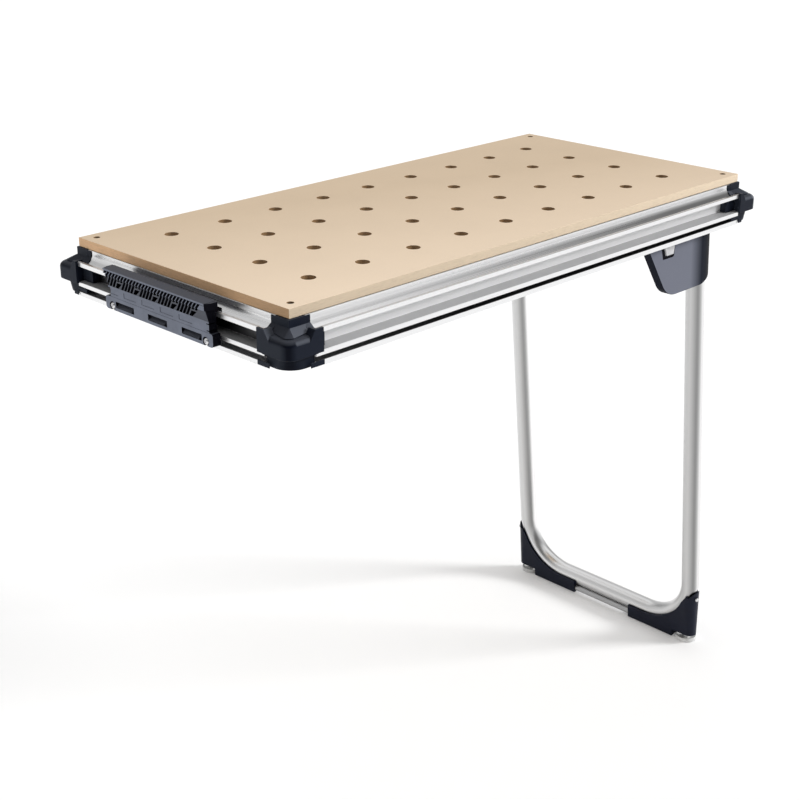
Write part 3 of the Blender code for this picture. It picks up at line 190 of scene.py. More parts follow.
COMB_POCKET_LOW = (3.72, 4.65)
WINDOW_PITCH = 0.072
WINDOW_LENGTH = 0.0408
WINDOW_TOP = -0.0562
WINDOW_BOTTOM = -0.0648
WINDOW_DEPTH = 0.006
WINDOW_RAMP_TOP = -0.0594
WINDOW_RAMP_CLEAR = 0.0065
WINDOW_RIB_PITCH = 0.0026
WINDOW_RIB_WIDTH = 0.0017
PANEL_TOP = -0.0402
PANEL_BOTTOM = -0.0470
PANEL_LENGTH = 0.027
PANEL_GROUP_SHARE = 0.4
PANEL_DEPTH = 0.0005
END_WALL = 0.0024
END_NOTCH = 0.0045
END_NOTCH_TOP = -0.0385
END_NOTCH_BOTTOM = -0.0508
SLIT_LENGTH = 0.0050
SLIT_HEIGHT = 0.0013
SLIT_LEVELS = (-0.0395, -0.0485)
HOOK_EDGE = 0.0003
HOOK_PLATE_FACING = 0.985
HOOK_END_FACING = 0.6
BOLT_SPREAD = 0.2010
BOLT_DROP = 0.00255
BOLT_HEAD_DIAMETER = 0.0095
BOLT_HEAD_HEIGHT = 0.0034
BOLT_SEAT_DIAMETER = 0.0122
BOLT_SEAT_DEPTH = 0.0016
BOLT_DIAMETER = 0.0045
BOLT_LENGTH = 0.022
SOCKET_SHARE = 0.52
HEAD_STEPS = 8

# Leg housings and release buttons, measured from the hinge
HOUSING_OUT = 0.0039
HOUSING_CHEEK = 0.015
HOUSING_DEPTH = 0.0585
HOUSING_WALL = 0.003
HOUSING_LEFT = 0.1808
HOUSING_SLANT = 0.653
HOUSING_HEIGHT = 0.0918
HOUSING_CORNER_RADIUS = 0.044
HOUSING_CORNER_STEPS = 20
HOUSING_CHAMFER_LEFT = 0.0258
HOUSING_CHAMFER_RIGHT = 0.056
HOUSING_CHAMFER_RISE = 0.0145
HOUSING_WRAP_RADIUS = 0.080
HOUSING_WRAP_LEFT = 0.0363
HOUSING_WRAP_STEPS = 30
HOUSING_LEAN = 0.067
HOUSING_EDGE = 0.0010
# Painted shade darkens the housing towards its round right end, between these distances from the end
HOUSING_PAINTED_SHADE_FROM = 0.063
HOUSING_PAINTED_SHADE_TO = 0.032
BUTTON_LEFT = 0.1400
BUTTON_RIGHT = 0.1080
BUTTON_TAPER_LEFT = 0.009
BUTTON_TAPER_RIGHT = 0.003
BUTTON_HEIGHT = 0.0225
BUTTON_GAP = 0.0008
BUTTON_PROUD = 0.001
BUTTON_DEPTH = 0.0115
BUTTON_EDGE = 0.0007
RECESS_LEFT = 0.0078
RECESS_RIGHT = 0.0014
RECESS_BELOW = 0.0042
RECESS_DEPTH = 0.0010
PIN_DIAMETER = 0.010
BOSS_DIAMETER = 0.017
BOSS_ROOT = 0.001
KNUCKLE_OUTWARD = 0.010

# Foot caps, pads and stems
CAP_SKIN = 0.0016
CAP_FRONT = 0.0195
CAP_INNER_REACH = 0.0655
CAP_TIP_RISE = 0.079
CAP_SHOULDER_DROP = 0.009
CAP_TAPER = 0.0015
CAP_BACK_TAPER = 0.012
CAP_BOTTOM_SKIN = 0.0016
CAP_CORNER = 0.006
CAP_STEPS = 24
CAP_PAD_RISE = 0.0160
CAP_PAD_CLEAR = 0.0020
FOOT_RAIL_DIAMETER = 0.012
FOOT_RAIL_ANGLE = math.radians(32.0)
PAD_RADIUS = 0.0195
PAD_HEIGHT = 0.0085
DISH_PROFILE = ((0.0, 0.0), (0.92, 0.0), (0.97, 0.07), (1.0, 0.32), (1.0, 0.88), (0.98, 0.98), (0.95, 1.0),
                (0.90, 0.93), (0.82, 0.45), (0.70, 0.36), (0.36, 0.36), (0.33, 0.62), (0.0, 0.62))
PAD_SIDES = 48
STEM_RADIUS = 0.0040
STEM_THREAD = 0.0005
STEM_PITCH = 0.00125
STEM_BOTTOM = 0.0043
STEM_TOP = 0.034
STEM_CLEAR = 0.0006
STEM_NUT_WIDTH = 0.0130
STEM_NUT_LOW = 0.0058
STEM_NUT_HIGH = 0.0108
STEM_NUT_EDGE = 0.0006

# Leg
LEG_TUBE_DIAMETER = 0.0315
LEG_TUBE_WALL = 0.002
LEG_TUBE_SIDES = 64
LEG_TILT = math.radians(6.0)
BEND_RADIUS = 0.095
BEND_STEPS = 28
KNUCKLE_NECK = 0.024
CROSSBAR_RISE = 0.030

# Camera, matched to the photograph
CAMERA_PLACE = (-1.574602, -1.496713, 1.460368)
CAMERA_RIGHT = (0.705131, -0.709077, -0.000323)
CAMERA_AHEAD = (0.656471, 0.652990, -0.377691)
CAMERA_LENS = 66.17
SENSOR_WIDTH = 36.0
CAMERA_CLIP = 200.0

# Light
KEY_AZIMUTH = math.radians(-45.0)
KEY_ELEVATION = math.radians(29.0)
KEY_TOWARDS = Vector((math.cos(KEY_AZIMUTH) * math.cos(KEY_ELEVATION),
                      math.sin(KEY_AZIMUTH) * math.cos(KEY_ELEVATION), math.sin(KEY_ELEVATION)))
KEY_STRENGTH = 2.3
KEY_ANGLE = math.radians(16.0)
SOFTBOX_FROM = 0.57
SOFTBOX_TO = 0.77
SOFTBOX_TONES = ((0.75, 1.22), (0.88, 0.90), (1.0, 0.75))
WALL_TONES = ((0.0, 0.09), (0.5, 0.16), (0.7, 0.24), (0.85, 0.42), (1.0, 0.80))
SIDE_LIGHT_TOWARDS = (0.707, -0.707, 0.0)
SIDE_LIGHT_FROM = 0.70
SIDE_LIGHT_TO = 0.90
SIDE_LIGHT_LEVEL = 0.70
MIRRORED_WHITE = 0.05
FLOOR_SPAN = 60.0
FLOOR_LIFT = 0.155
FLOOR_TONES = (0.86, 0.87)
FLOOR_ROUGHNESS = 0.9
WHITE = (1.0, 1.0, 1.0, 1.0)

# Heights and places that follow
RAIL_TOP = -PLATE_THICKNESS - FIT_GAP
BAND_BOTTOM = RAIL_TOP - BAND_HEIGHT
GROOVE_BOTTOM = BAND_BOTTOM - GROOVE_DROP
LIP_TOP = GROOVE_BOTTOM + LIP_RISE
LIP_BOTTOM = LIP_TOP - LIP_HEIGHT
CHANNEL_FLOOR = LIP_BOTTOM - CHANNEL_HEIGHT
LOWER_LIP_BOTTOM = CHANNEL_FLOOR - LOWER_LIP_HEIGHT
SLOT_FLOOR = LOWER_LIP_BOTTOM - SLOT_HEIGHT
FRAME_BOTTOM = SLOT_FLOOR - FLANGE_HEIGHT
TUBE_RADIUS = LEG_TUBE_DIAMETER / 2
TUBE_LOW, TUBE_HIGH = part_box("leg_tube")
LEG_Y = (TUBE_HIGH.y - TUBE_LOW.y) / 2 - TUBE_RADIUS
PIN_LOW, PIN_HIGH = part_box("pivot_pin_front")
PIVOT = Vector(((PIN_LOW.x + PIN_HIGH.x) / 2, 0, (PIN_LOW.z + PIN_HIGH.z) / 2))
LEG = Matrix.Translation(PIVOT) @ Matrix.Rotation(-LEG_TILT, 4, "Y")
CROSSBAR_REACH = (PIVOT.z - CROSSBAR_RISE) / math.cos(LEG_TILT)
PIVOT_X = PIVOT.x - (PLATE_HIGH.x + PLATE_LOW.x) / 2
HOUSING_FACE = HALF_WIDTH + HOUSING_OUT
HOUSING_INNER = HOUSING_FACE - HOUSING_CHEEK
HOUSING_TOP = FRAME_BOTTOM - FIT_GAP
HOUSING_BOTTOM = HOUSING_TOP - HOUSING_HEIGHT
BOLT_LEVEL = LOWER_LIP_BOTTOM - BOLT_DROP
PAD_LOW, PAD_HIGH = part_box("level_foot_rear")
PAD_CENTRE = (PAD_LOW + PAD_HIGH) / 2
FIELD_REACH = BUTTON_LEFT / 3
GROOVE_FACING = Vector((0.0, -GROOVE_DROP, GROOVE_OUT - BAND_OUT)).normalized()
HOUSING_ALONG = Vector((1.0, 0.0, HOUSING_LEAN))
HOUSING_END = HOUSING_ALONG.dot(Vector((PIVOT.x, 0.0, TABLE_HEIGHT + HOUSING_TOP)))

# Noises of the looks: scale, detail and roughness. A stretch draws lines along the axis of its low number.
NOISE_SPAN = (0.3, 0.7)
FIBRE_NOISE = (700.0, 6.0, 0.7)
MOTTLE_NOISE = (14.0, 3.0, 0.5)
DRAWN_NOISE = (1.0, 3.0, 0.55)
TUBE_NOISE = (1.0, 2.0, 0.5)
SLOW_NOISE = (45.0, 3.0, 0.6)
HOUSING_NOISE = (2200.0, 2.0, 0.5)
FLOOR_NOISE = (3.0, 2.0, 0.5)
MOULD_DETAIL = (2.0, 0.5)
EVEN = (1.0, 1.0, 1.0)
EDGE_FIBRES = (0.15, 0.15, 1.4)
ALONG_X = (4.0, 900.0, 900.0)
ALONG_Y = (900.0, 4.0, 900.0)
ALONG_TUBE = (2000.0, 2000.0, 8.0)
ALL_WAYS = (600.0, 600.0, 600.0)
NEW_STOP = 0.5

# Finish of the looks
FINE_RELIEF = 0.0001
BOARD_STOPS = (0.1, 0.5, 0.9)
BOARD_MOTTLE = 0.35
BOARD_FIBRE = 0.65
BOARD_ROUGHNESS = (0.52, 0.66)
BOARD_SPECULAR = 0.3
BOARD_BUMP = 0.12
BOARD_RELIEF = 0.0002
METAL_LINES = 0.05
METAL_UNEVEN = 0.15
METAL_BUMP = 0.05
TUBE_ROUGHNESS = 0.30
TUBE_UNEVEN = 0.05
PLASTIC_MOTTLE = 0.12
PLASTIC_UNEVEN = 0.1
# The housing is grey on its flat front; painted shade darkens its sides where they turn away from the front
HOUSING_STOPS = (0.87, 0.966, 0.997)
HOUSING_FACE_COLOUR = (0.17, 0.18, 0.22)
HOUSING_PAINTED_SHADE_COLOUR = (0.014, 0.016, 0.024)
HOUSING_ROUGHNESS = (0.36, 0.46)
HOUSING_SPECULAR = 0.01
HOUSING_BUMP = 0.05

# Painted reflection bands round the leg's tube: tones from the one side panel to the other
TUBE_PAINTED_BANDS = ((0.0, 0.58), (0.2, 0.57), (0.33, 0.47), (0.44, 0.36), (0.55, 0.27), (0.63, 0.30), (0.73, 0.48),
              (0.85, 0.85), (1.0, 0.85))

# Boards: name, colour, stretch of the fibres, depth of the mottling
BOARDS = (
    ("board_face", (0.70, 0.555, 0.40), EVEN, 0.10),
    # The side colour is paler with painted light, the end and hole-wall colours darker with painted shade
    ("board_side", (0.80, 0.65, 0.47), EDGE_FIBRES, 0.14),
    ("board_end", (0.56, 0.355, 0.195), EDGE_FIBRES, 0.22),
    ("board_hole", (0.26, 0.16, 0.08), EDGE_FIBRES, 0.25),
)
# Metals: name, colour, stretch of the drawing lines, roughness, share of metal
METALS = (
    ("aluminium_along_x", (0.88, 0.88, 0.885), ALONG_X, 0.30, 1.0),
    ("aluminium_along_y", (0.88, 0.88, 0.885), ALONG_Y, 0.30, 1.0),
    # Copies of the rails' aluminium: the channel floors, the end rails' channel and the slot darker with
    # painted shade, the long rails' channel wall paler and matte with painted light
    ("aluminium_channel_floor", (0.45, 0.45, 0.455), ALONG_X, 0.5, 0.1),
    ("aluminium_channel_wall", (0.92, 0.92, 0.925), ALONG_X, 0.5, 0.1),
    ("aluminium_end_floor", (0.38, 0.38, 0.385), ALONG_Y, 0.5, 0.1),
    ("aluminium_end_channel", (0.13, 0.13, 0.135), ALONG_Y, 0.40, 1.0),
    ("aluminium_slot", (0.11, 0.11, 0.113), ALONG_X, 0.55, 1.0),
    ("aluminium_rod", (0.46, 0.46, 0.465), ALONG_Y, 0.35, 1.0),
    # The top screws' steel is painted dark with the shade of their holes
    ("black_steel", (0.06, 0.055, 0.05), ALL_WAYS, 0.45, 1.0),
    ("zinc_steel", (0.72, 0.72, 0.73), ALL_WAYS, 0.26, 1.0),
)
# Plastics: name, colour, roughness, scale and depth of the grain, specular level
PLASTICS = (
    ("dark_plastic", (0.010, 0.012, 0.019), 0.42, 1800.0, 0.10, 0.12),
    ("corner_plastic", (0.0035, 0.005, 0.011), 0.42, 1800.0, 0.08, 0.06),
    ("cap_plastic", (0.008, 0.0105, 0.023), 0.40, 1800.0, 0.08, 0.14),
    # Near-black look of painted shade for hollows
    ("shaded_hollow", (0.004, 0.004, 0.007), 0.6, 1500.0, 0.08, 0.05),
    ("hook_plastic", (0.042, 0.045, 0.058), 0.5, 1500.0, 0.18, 0.2),
    ("hook_plate_plastic", (0.205, 0.226, 0.285), 0.5, 1500.0, 0.22, 0.2),
    ("hook_rib_plastic", (0.085, 0.092, 0.115), 0.5, 1500.0, 0.18, 0.2),
    ("silver_plastic", (0.62, 0.62, 0.63), 0.42, 2200.0, 0.06, 0.4),
    ("pale_plastic", (0.80, 0.80, 0.79), 0.40, 1500.0, 0.06, 0.4),
)
# Painted light and shade by the way a surface faces: look, direction, start and end, colour, X where it
# comes in
PAINTED_FACING_LIGHT = (
    # Painted reflection: the groove's slope darker towards the rail's right end
    ("aluminium_along_x", GROOVE_FACING, 0.72, 1.0, (0.28, 0.28, 0.28), (-0.40, 0.30)),
    # Painted highlight on the top of the leg's tube
    ("aluminium_tube", (-0.35, 0.0, 0.94), 0.30, 0.70, (0.68, 0.68, 0.68)),
    # Painted highlights on the corner blocks' upward, left, front and key-lit faces
    ("corner_plastic", Z_AXIS, 0.5, 0.95, (0.040, 0.044, 0.056)),
    ("corner_plastic", (-1.0, 0.0, 0.0), 0.8, 1.0, (0.025, 0.030, 0.042)),
    ("corner_plastic", (0.0, -1.0, 0.0), 0.8, 1.0, (0.010, 0.013, 0.022)),
    ("corner_plastic", KEY_TOWARDS, 0.70, 0.84, (0.12, 0.13, 0.155)),
)
# Painted light and shade by the place on a piece: look, direction, start and end, tint at either
PAINTED_PLACE_LIGHT = (
    # Painted light: the rear leg lighter, the board's face lighter towards its front left, its sides towards
    # +X, its ends towards the rear
    ("aluminium_tube", Y_AXIS, -0.2, 0.2, (1.0, 1.0, 1.0), (1.14, 1.14, 1.14)),
    ("board_face", (-0.25, -0.97, 0.0), -0.12, 0.34, (0.87, 0.852, 0.825), (1.16, 1.18, 1.23)),
    ("board_side", X_AXIS, -0.5, 0.5, (0.73, 0.73, 0.74), (1.04, 1.05, 1.08)),
    ("board_end", Y_AXIS, -0.22, 0.08, (0.96, 0.96, 0.96), (1.66, 1.66, 1.70)),
    # Painted light in the slot towards the left end; painted shade on the housing towards its round right
    # end
    ("aluminium_slot", X_AXIS, -0.49, -0.15, (3.2, 3.2, 3.2), (1.0, 1.0, 1.0)),
    ("housing_plastic", HOUSING_ALONG, HOUSING_END - HOUSING_PAINTED_SHADE_FROM, HOUSING_END - HOUSING_PAINTED_SHADE_TO,
     (1.0, 1.0, 1.0), (0.09, 0.10, 0.12)),
)
# Looks of the solids that the frame still shows, by a word in their names; the top screws take a steel
# painted dark with shade
NODE_LOOKS = (("foot_rail", "aluminium_rod"), ("top_screw", "black_steel"), ("hook_slot", "zinc_steel"),
              ("hinge", "zinc_steel"), ("pivot_pin", "zinc_steel"), ("pivot_washer", "dark_plastic"),
              ("leg_knuckle", "dark_plastic"), ("cap_screw", "zinc_steel"))
LOOKS = {}


def arc(centre, radius, start, end, steps):
    points = []
    for step in range(steps + 1):
        angle = start + (end - start) * step / steps
        points.append((centre[0] + radius * math.cos(angle), centre[1] + radius * math.sin(angle)))
    return points


def circle(centre, radius, sides):
    return arc(centre, radius, 0, 2 * math.pi * (1 - 1 / sides), sides - 1)


def oblong(left, low, right, high):
    return [(left, low), (right, low), (right, high), (left, high)]


def rounded(corners, usual):
    """Outline whose corners (x, y) are turned into arcs of the usual radius, or of a third number."""
    outline = []
    for index, corner in enumerate(corners):
        x, y = corner[:2]
        radius = corner[-1] if len(corner) > 2 else usual
        if radius == 0:
            outline.append((x, y))
            continue
        here = Vector((x, y))
        back = Vector(corners[index - 1][:2]) - here
        ahead = Vector(corners[(index + 1) % len(corners)][:2]) - here
        half = back.angle(ahead) / 2
        setback = min(radius / math.tan(half), ROUND_SHARE * back.length, ROUND_SHARE * ahead.length)
        reach = setback * math.tan(half)
        middle = here + (back.normalized() + ahead.normalized()).normalized() * reach / math.sin(half)
        first = here + back.normalized() * setback - middle
        last = here + ahead.normalized() * setback - middle
        start = math.atan2(first.y, first.x)
        swing = math.atan2(first.x * last.y - first.y * last.x, first.dot(last))
        outline += arc(middle, reach, start, start + swing, ROUND_STEPS)
    return outline


def skin(body, rows):
    """Faces between rows of equally many vertices; a row on the axis repeats one vertex."""
    count = len(rows[0])
    for low, high in zip(rows, rows[1:]):
        for index in range(count):
            after = (index + 1) % count
            body.faces.new(dict.fromkeys((low[index], low[after], high[after], high[index])))


def loft(rings, capped=True):
    """Closed body through rings of equally many points."""
    body = bmesh.new()
    rows = [[body.verts.new(point) for point in ring] for ring in rings]
    skin(body, rows)
    if capped:
        body.faces.new(rows[0])
        body.faces.new(rows[-1])
    return body


def prism(outline, low, high, plane):
    """Closed body between two levels; the outline's numbers run along the two axes that the plane names."""
    order = PLANE_AXES[plane]
    rings = []
    for level in (low, high):
        rings.append([[(a, b, level)[axis] for axis in order] for a, b in outline])
    return loft(rings)


def block(low, high):
    """Square-edged body between two corners."""
    return prism(oblong(low[0], low[1], high[0], high[1]), low[2], high[2], "XY")


def rod(centre, diameter, low, high, plane, sides=TURNED_SIDES):
    return prism(circle(centre, diameter / 2, sides), low, high, plane)


def lathe(profile, sides=TURNED_SIDES):
    """Closed turned body about Z from (radius, height) pairs that start and end on the axis."""
    body = bmesh.new()
    rows = []
    for radius, height in profile:
        if radius == 0:
            rows.append([body.verts.new((0, 0, height))] * sides)
        else:
            rows.append([body.verts.new((x, y, height)) for x, y in circle((0, 0), radius, sides)])
    skin(body, rows)
    return body


def as_mesh(body):
    mesh = bpy.data.meshes.new("working")
    bmesh.ops.recalc_face_normals(body, faces=body.faces)
    body.to_mesh(mesh)
    body.free()
    return mesh


def merged(bodies):
    """Several closed bodies as one."""
    whole = bmesh.new()
    for body in bodies:
        mesh = as_mesh(body)
        whole.from_mesh(mesh)
        bpy.data.meshes.remove(mesh)
    return whole


def linked(name, data):
    """New object in the scene."""
    thing = bpy.data.objects.new(name, data)
    bpy.context.scene.collection.objects.link(thing)
    return thing


def worked(body, cutters=(), edge=0, edge_steps=2, joins=(), trims=()):
    """The body with joins added, kept inside the trims and cut by the cutters, its sharp edges bevelled."""
    holder = linked("working", as_mesh(body))
    tools = []
    for operation, bodies in (("UNION", joins), ("INTERSECT", trims), ("DIFFERENCE", cutters)):
        for other in bodies:
            tools.append(linked("tool", as_mesh(other)))
            change = holder.modifiers.new("shape", "BOOLEAN")
            change.operation = operation
            change.solver = "EXACT"
            change.object = tools[-1]
    if edge:
        bevel = holder.modifiers.new("edge", "BEVEL")
        bevel.width = edge
        bevel.segments = edge_steps
        bevel.limit_method = "ANGLE"
        bevel.angle_limit = SHARP_ANGLE
        bevel.use_clamp_overlap = True
    graph = bpy.context.evaluated_depsgraph_get()
    mesh = bpy.data.meshes.new_from_object(holder.evaluated_get(graph))
    result = bmesh.new()
    result.from_mesh(mesh)
    bpy.data.meshes.remove(mesh)
    for shape in (holder, *tools):
        old = shape.data
        bpy.data.objects.remove(shape, do_unlink=True)
        bpy.data.meshes.remove(old)
    return result


def shade(mesh):
    """Smooth faces with a sharp edge wherever two faces meet at more than the sharp angle."""
    body = bmesh.new()
    body.from_mesh(mesh)
    for face in body.faces:
        face.smooth = True
    for edge in body.edges:
        edge.smooth = len(edge.link_faces) == 2 and edge.calc_face_angle(0) < SHARP_ANGLE
    body.to_mesh(mesh)
    body.free()


def piece(name, body, looks, stands_for, rides="table", place=TABLE):
    """Named object from a body, in its place, with its looks and body of the frame; the nodes that it stands
    for are hidden.
    """
    mesh = as_mesh(body)
    mesh.name = name
    mesh.transform(place)
    shade(mesh)
    for look in looks:
        mesh.materials.append(LOOKS[look])
    thing = linked(name, mesh)
    fair = thing.modifiers.new("fair", "WEIGHTED_NORMAL")
    fair.keep_sharp = True
    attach(thing, rides)
    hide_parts(*stands_for)


def grey(level):
    return (level, level, level)


def scaled(colour, factor):
    return tuple(value * factor for value in colour)


def set_inputs(tree, node, inputs):
    """Gives each input a value, or a link from another node's output."""
    for socket, value in inputs.items():
        if isinstance(value, bpy.types.NodeSocket):
            tree.links.new(value, node.inputs[socket])
        else:
            node.inputs[socket].default_value = value


def add(tree, kind, inputs, **settings):
    """New node with its settings and inputs."""
    node = tree.nodes.new("ShaderNode" + kind)
    for name, value in settings.items():
        setattr(node, name, value)
    set_inputs(tree, node, inputs)
    return node


def maths(tree, operation, *values, clamp=False):
    node = add(tree, "Math", dict(enumerate(values)), operation=operation, use_clamp=clamp)
    return node.outputs["Value"]


def mixed(tree, factor, first, second, blend="MIX"):
    node = add(tree, "Mix", {}, data_type="RGBA", blend_type=blend)
    set_inputs(tree, node, {"Factor": factor, "A": first, "B": second})
    return node.outputs["Result"]


def along(tree, direction, kind="Object"):
    """How far a point lies, or with "Normal" how far its surface faces, along a fixed direction."""
    where = add(tree, "TexCoord", {})
    node = add(tree, "VectorMath", {0: where.outputs[kind], 1: direction}, operation="DOT_PRODUCT")
    return node.outputs["Value"]


def grain(tree, stretch, scale, detail, rough):
    """Noise over the piece's own coordinates, drawn out along the axes by the stretch."""
    where = add(tree, "TexCoord", {})
    mapping = add(tree, "Mapping", {"Vector": where.outputs["Object"], "Scale": stretch})
    noise = add(tree, "TexNoise", {"Vector": mapping.outputs["Vector"], "Scale": scale, "Detail": detail,
                                   "Roughness": rough})
    return noise.outputs["Fac"]


def ramp(tree, source, places, colours):
    """Colour ramp with a colour at each place."""
    band = add(tree, "ValToRGB", {"Fac": source})
    elements = band.color_ramp.elements
    while len(elements) < len(places):
        elements.new(NEW_STOP)
    for element, place, colour in zip(elements, places, colours):
        element.position = place
        element.color = (*colour, 1.0)
    return band.outputs["Color"]


def grey_ramp(tree, source, tones):
    places, levels = zip(*tones)
    return ramp(tree, source, places, [grey(level) for level in levels])


def spread(tree, source, start, end, low=0.0, high=1.0):
    """Number that runs from low to high while the source runs from start to end."""
    node = add(tree, "MapRange", {"Value": source, "From Min": start, "From Max": end, "To Min": low,
                                  "To Max": high})
    return node.outputs["Result"]


def uneven(tree, noise, middle, share):
    """Number that a noise moves by a share to both sides of its middle."""
    return spread(tree, noise, *NOISE_SPAN, middle * (1.0 - share), middle * (1.0 + share))


def bump(tree, source, strength, distance=FINE_RELIEF):
    node = add(tree, "Bump", {"Height": source, "Strength": strength, "Distance": distance})
    return node.outputs["Normal"]


def new_look(name):
    """New material under its name; gives its node tree."""
    LOOKS[name] = bpy.data.materials.new(name)
    LOOKS[name].use_nodes = True
    return LOOKS[name].node_tree


def dress(tree, inputs):
    set_inputs(tree, tree.nodes["Principled BSDF"], inputs)


def recolour(tree, factor, colour, blend="MIX"):
    """Mixes a colour into the one that a look has so far."""
    base = tree.nodes["Principled BSDF"].inputs["Base Color"]
    tree.links.new(mixed(tree, factor, base.links[0].from_socket, colour, blend), base)


def paint_facing_light(name, direction, start, end, colour, fade=None):
    """Paints light and shade into a look: turns it to a colour where its surface faces a direction; fade
    brings it in between two X.
    """
    tree = LOOKS[name].node_tree
    share = spread(tree, along(tree, direction, "Normal"), start, end)
    if fade:
        share = maths(tree, "MULTIPLY", share, spread(tree, along(tree, X_AXIS), *fade))
    recolour(tree, share, (*colour, 1.0))


def paint_place_light(name, direction, start, end, low, high):
    """Paints light and shade into a look: multiplies its colour by a tint from low to high between two
    places along a direction.
    """
    tree = LOOKS[name].node_tree
    share = spread(tree, along(tree, direction), start, end)
    recolour(tree, 1.0, ramp(tree, share, (0.0, 1.0), (low, high)), "MULTIPLY")


def board_look(name, colour, stretch, depth):
    """Pressed fibre board: fine fibres over a slow mottling."""
    tree = new_look(name)
    fibres = grain(tree, stretch, *FIBRE_NOISE)
    cloud = grain(tree, EVEN, *MOTTLE_NOISE)
    fine = spread(tree, fibres, *NOISE_SPAN, 0.0, BOARD_FIBRE)
    both = maths(tree, "MULTIPLY_ADD", cloud, BOARD_MOTTLE, fine)
    colours = (scaled(colour, 1.0 - depth), colour, scaled(colour, 1.0 + depth / 2))
    dress(tree, {
        "Base Color": ramp(tree, both, BOARD_STOPS, colours),
        "Roughness": spread(tree, fibres, *NOISE_SPAN, *BOARD_ROUGHNESS),
        "Specular IOR Level": BOARD_SPECULAR,
        "Normal": bump(tree, fibres, BOARD_BUMP, BOARD_RELIEF),
    })


def metal_look(name, colour, stretch, roughness, metallic):
    """Satin metal with drawing lines along the stretched axis."""
    tree = new_look(name)
    lines = grain(tree, stretch, *DRAWN_NOISE)
    dress(tree, {
        "Base Color": ramp(tree, lines, NOISE_SPAN, (scaled(colour, 1.0 - METAL_LINES), colour)),
        "Roughness": uneven(tree, lines, roughness, METAL_UNEVEN),
        "Metallic": metallic,
        "Normal": bump(tree, lines, METAL_BUMP),
    })


def tube_look(name):
    """Satin tube with painted reflection: its tone changes round it in soft bands by the way its surface
    faces the side panels.
    """
    tree = new_look(name)
    turned = spread(tree, along(tree, SIDE_LIGHT_TOWARDS, "Normal"), -1.0, 1.0)
    lines = grain(tree, ALONG_TUBE, *TUBE_NOISE)
    dress(tree, {
        "Base Color": grey_ramp(tree, turned, TUBE_PAINTED_BANDS),
        "Roughness": uneven(tree, lines, TUBE_ROUGHNESS, TUBE_UNEVEN),
        "Metallic": 1.0,
    })


def plastic_look(name, colour, roughness, grain_scale, depth, specular):
    """Moulded plastic with a fine eroded grain and slightly uneven colour."""
    tree = new_look(name)
    fine = grain(tree, EVEN, grain_scale, *MOULD_DETAIL)
    slow = grain(tree, EVEN, *SLOW_NOISE)
    colours = (scaled(colour, 1.0 - PLASTIC_MOTTLE), scaled(colour, 1.0 + PLASTIC_MOTTLE))
    dress(tree, {
        "Base Color": ramp(tree, slow, NOISE_SPAN, colours),
        "Roughness": uneven(tree, slow, roughness, PLASTIC_UNEVEN),
        "Specular IOR Level": specular,
        "Normal": bump(tree, fine, depth),
    })


def housing_look(name):
    """Moulded plastic, grey on its flat front and painted dark with shade where the shell turns away from
    it.
    """
    tree = new_look(name)
    size = maths(tree, "ABSOLUTE", along(tree, Y_AXIS, "Normal"))
    middle = tuple((a + b) / 2 for a, b in zip(HOUSING_FACE_COLOUR, HOUSING_PAINTED_SHADE_COLOUR))
    fine = grain(tree, EVEN, *HOUSING_NOISE)
    dress(tree, {
        "Base Color": ramp(tree, size, HOUSING_STOPS, (HOUSING_PAINTED_SHADE_COLOUR, middle, HOUSING_FACE_COLOUR)),
        "Roughness": spread(tree, fine, *NOISE_SPAN, *HOUSING_ROUGHNESS),
        "Specular IOR Level": HOUSING_SPECULAR,
        "Normal": bump(tree, fine, HOUSING_BUMP),
    })


def build_looks():
    for make, rows in ((board_look, BOARDS), (metal_look, METALS), (plastic_look, PLASTICS)):
        for row in rows:
            make(*row)
    tube_look("aluminium_tube")
    housing_look("housing_plastic")
    for row in PAINTED_FACING_LIGHT:
        paint_facing_light(*row)
    for row in PAINTED_PLACE_LIGHT:
        paint_place_light(*row)


def build_top():
    board = prism(oblong(-HALF_LENGTH, -HALF_WIDTH, HALF_LENGTH, HALF_WIDTH), -PLATE_THICKNESS, 0, "XY")
    drills = []
    above = PLATE_THICKNESS
    for column in range(DOG_HOLE_COLUMNS):
        for row in range(DOG_HOLE_ROWS):
            centre = ((column - (DOG_HOLE_COLUMNS - 1) / 2) * DOG_HOLE_PITCH,
                      (row - (DOG_HOLE_ROWS - 1) / 2) * DOG_HOLE_PITCH)
            drills.append(rod(centre, DOG_HOLE_DIAMETER, -2 * PLATE_THICKNESS, above, "XY", DOG_HOLE_SIDES))
    for end in (LEFT, RIGHT):
        for side in (FRONT, REAR):
            centre = (end * (HALF_LENGTH - SCREW_INSET), side * (HALF_WIDTH - SCREW_INSET))
            drills.append(rod(centre, SCREW_HOLE_DIAMETER, -SCREW_SEAT, above, "XY", SCREW_HOLE_SIDES))
    board = worked(board, [merged(drills)], PLATE_EDGE)
    board.normal_update()
    kinds = ("board_face", "board_side", "board_end", "board_hole")
    for face in board.faces:
        middle = face.calc_center_median()
        kind = "board_hole"
        if abs(face.normal.z) > TOP_FACING:
            kind = "board_face"
        elif abs(middle.y) > HALF_WIDTH - PLATE_EDGE:
            kind = "board_side"
        elif abs(middle.x) > HALF_LENGTH - PLATE_EDGE:
            kind = "board_end"
        face.material_index = kinds.index(kind)
    piece("top_board", board, kinds, ["perforated_top"])


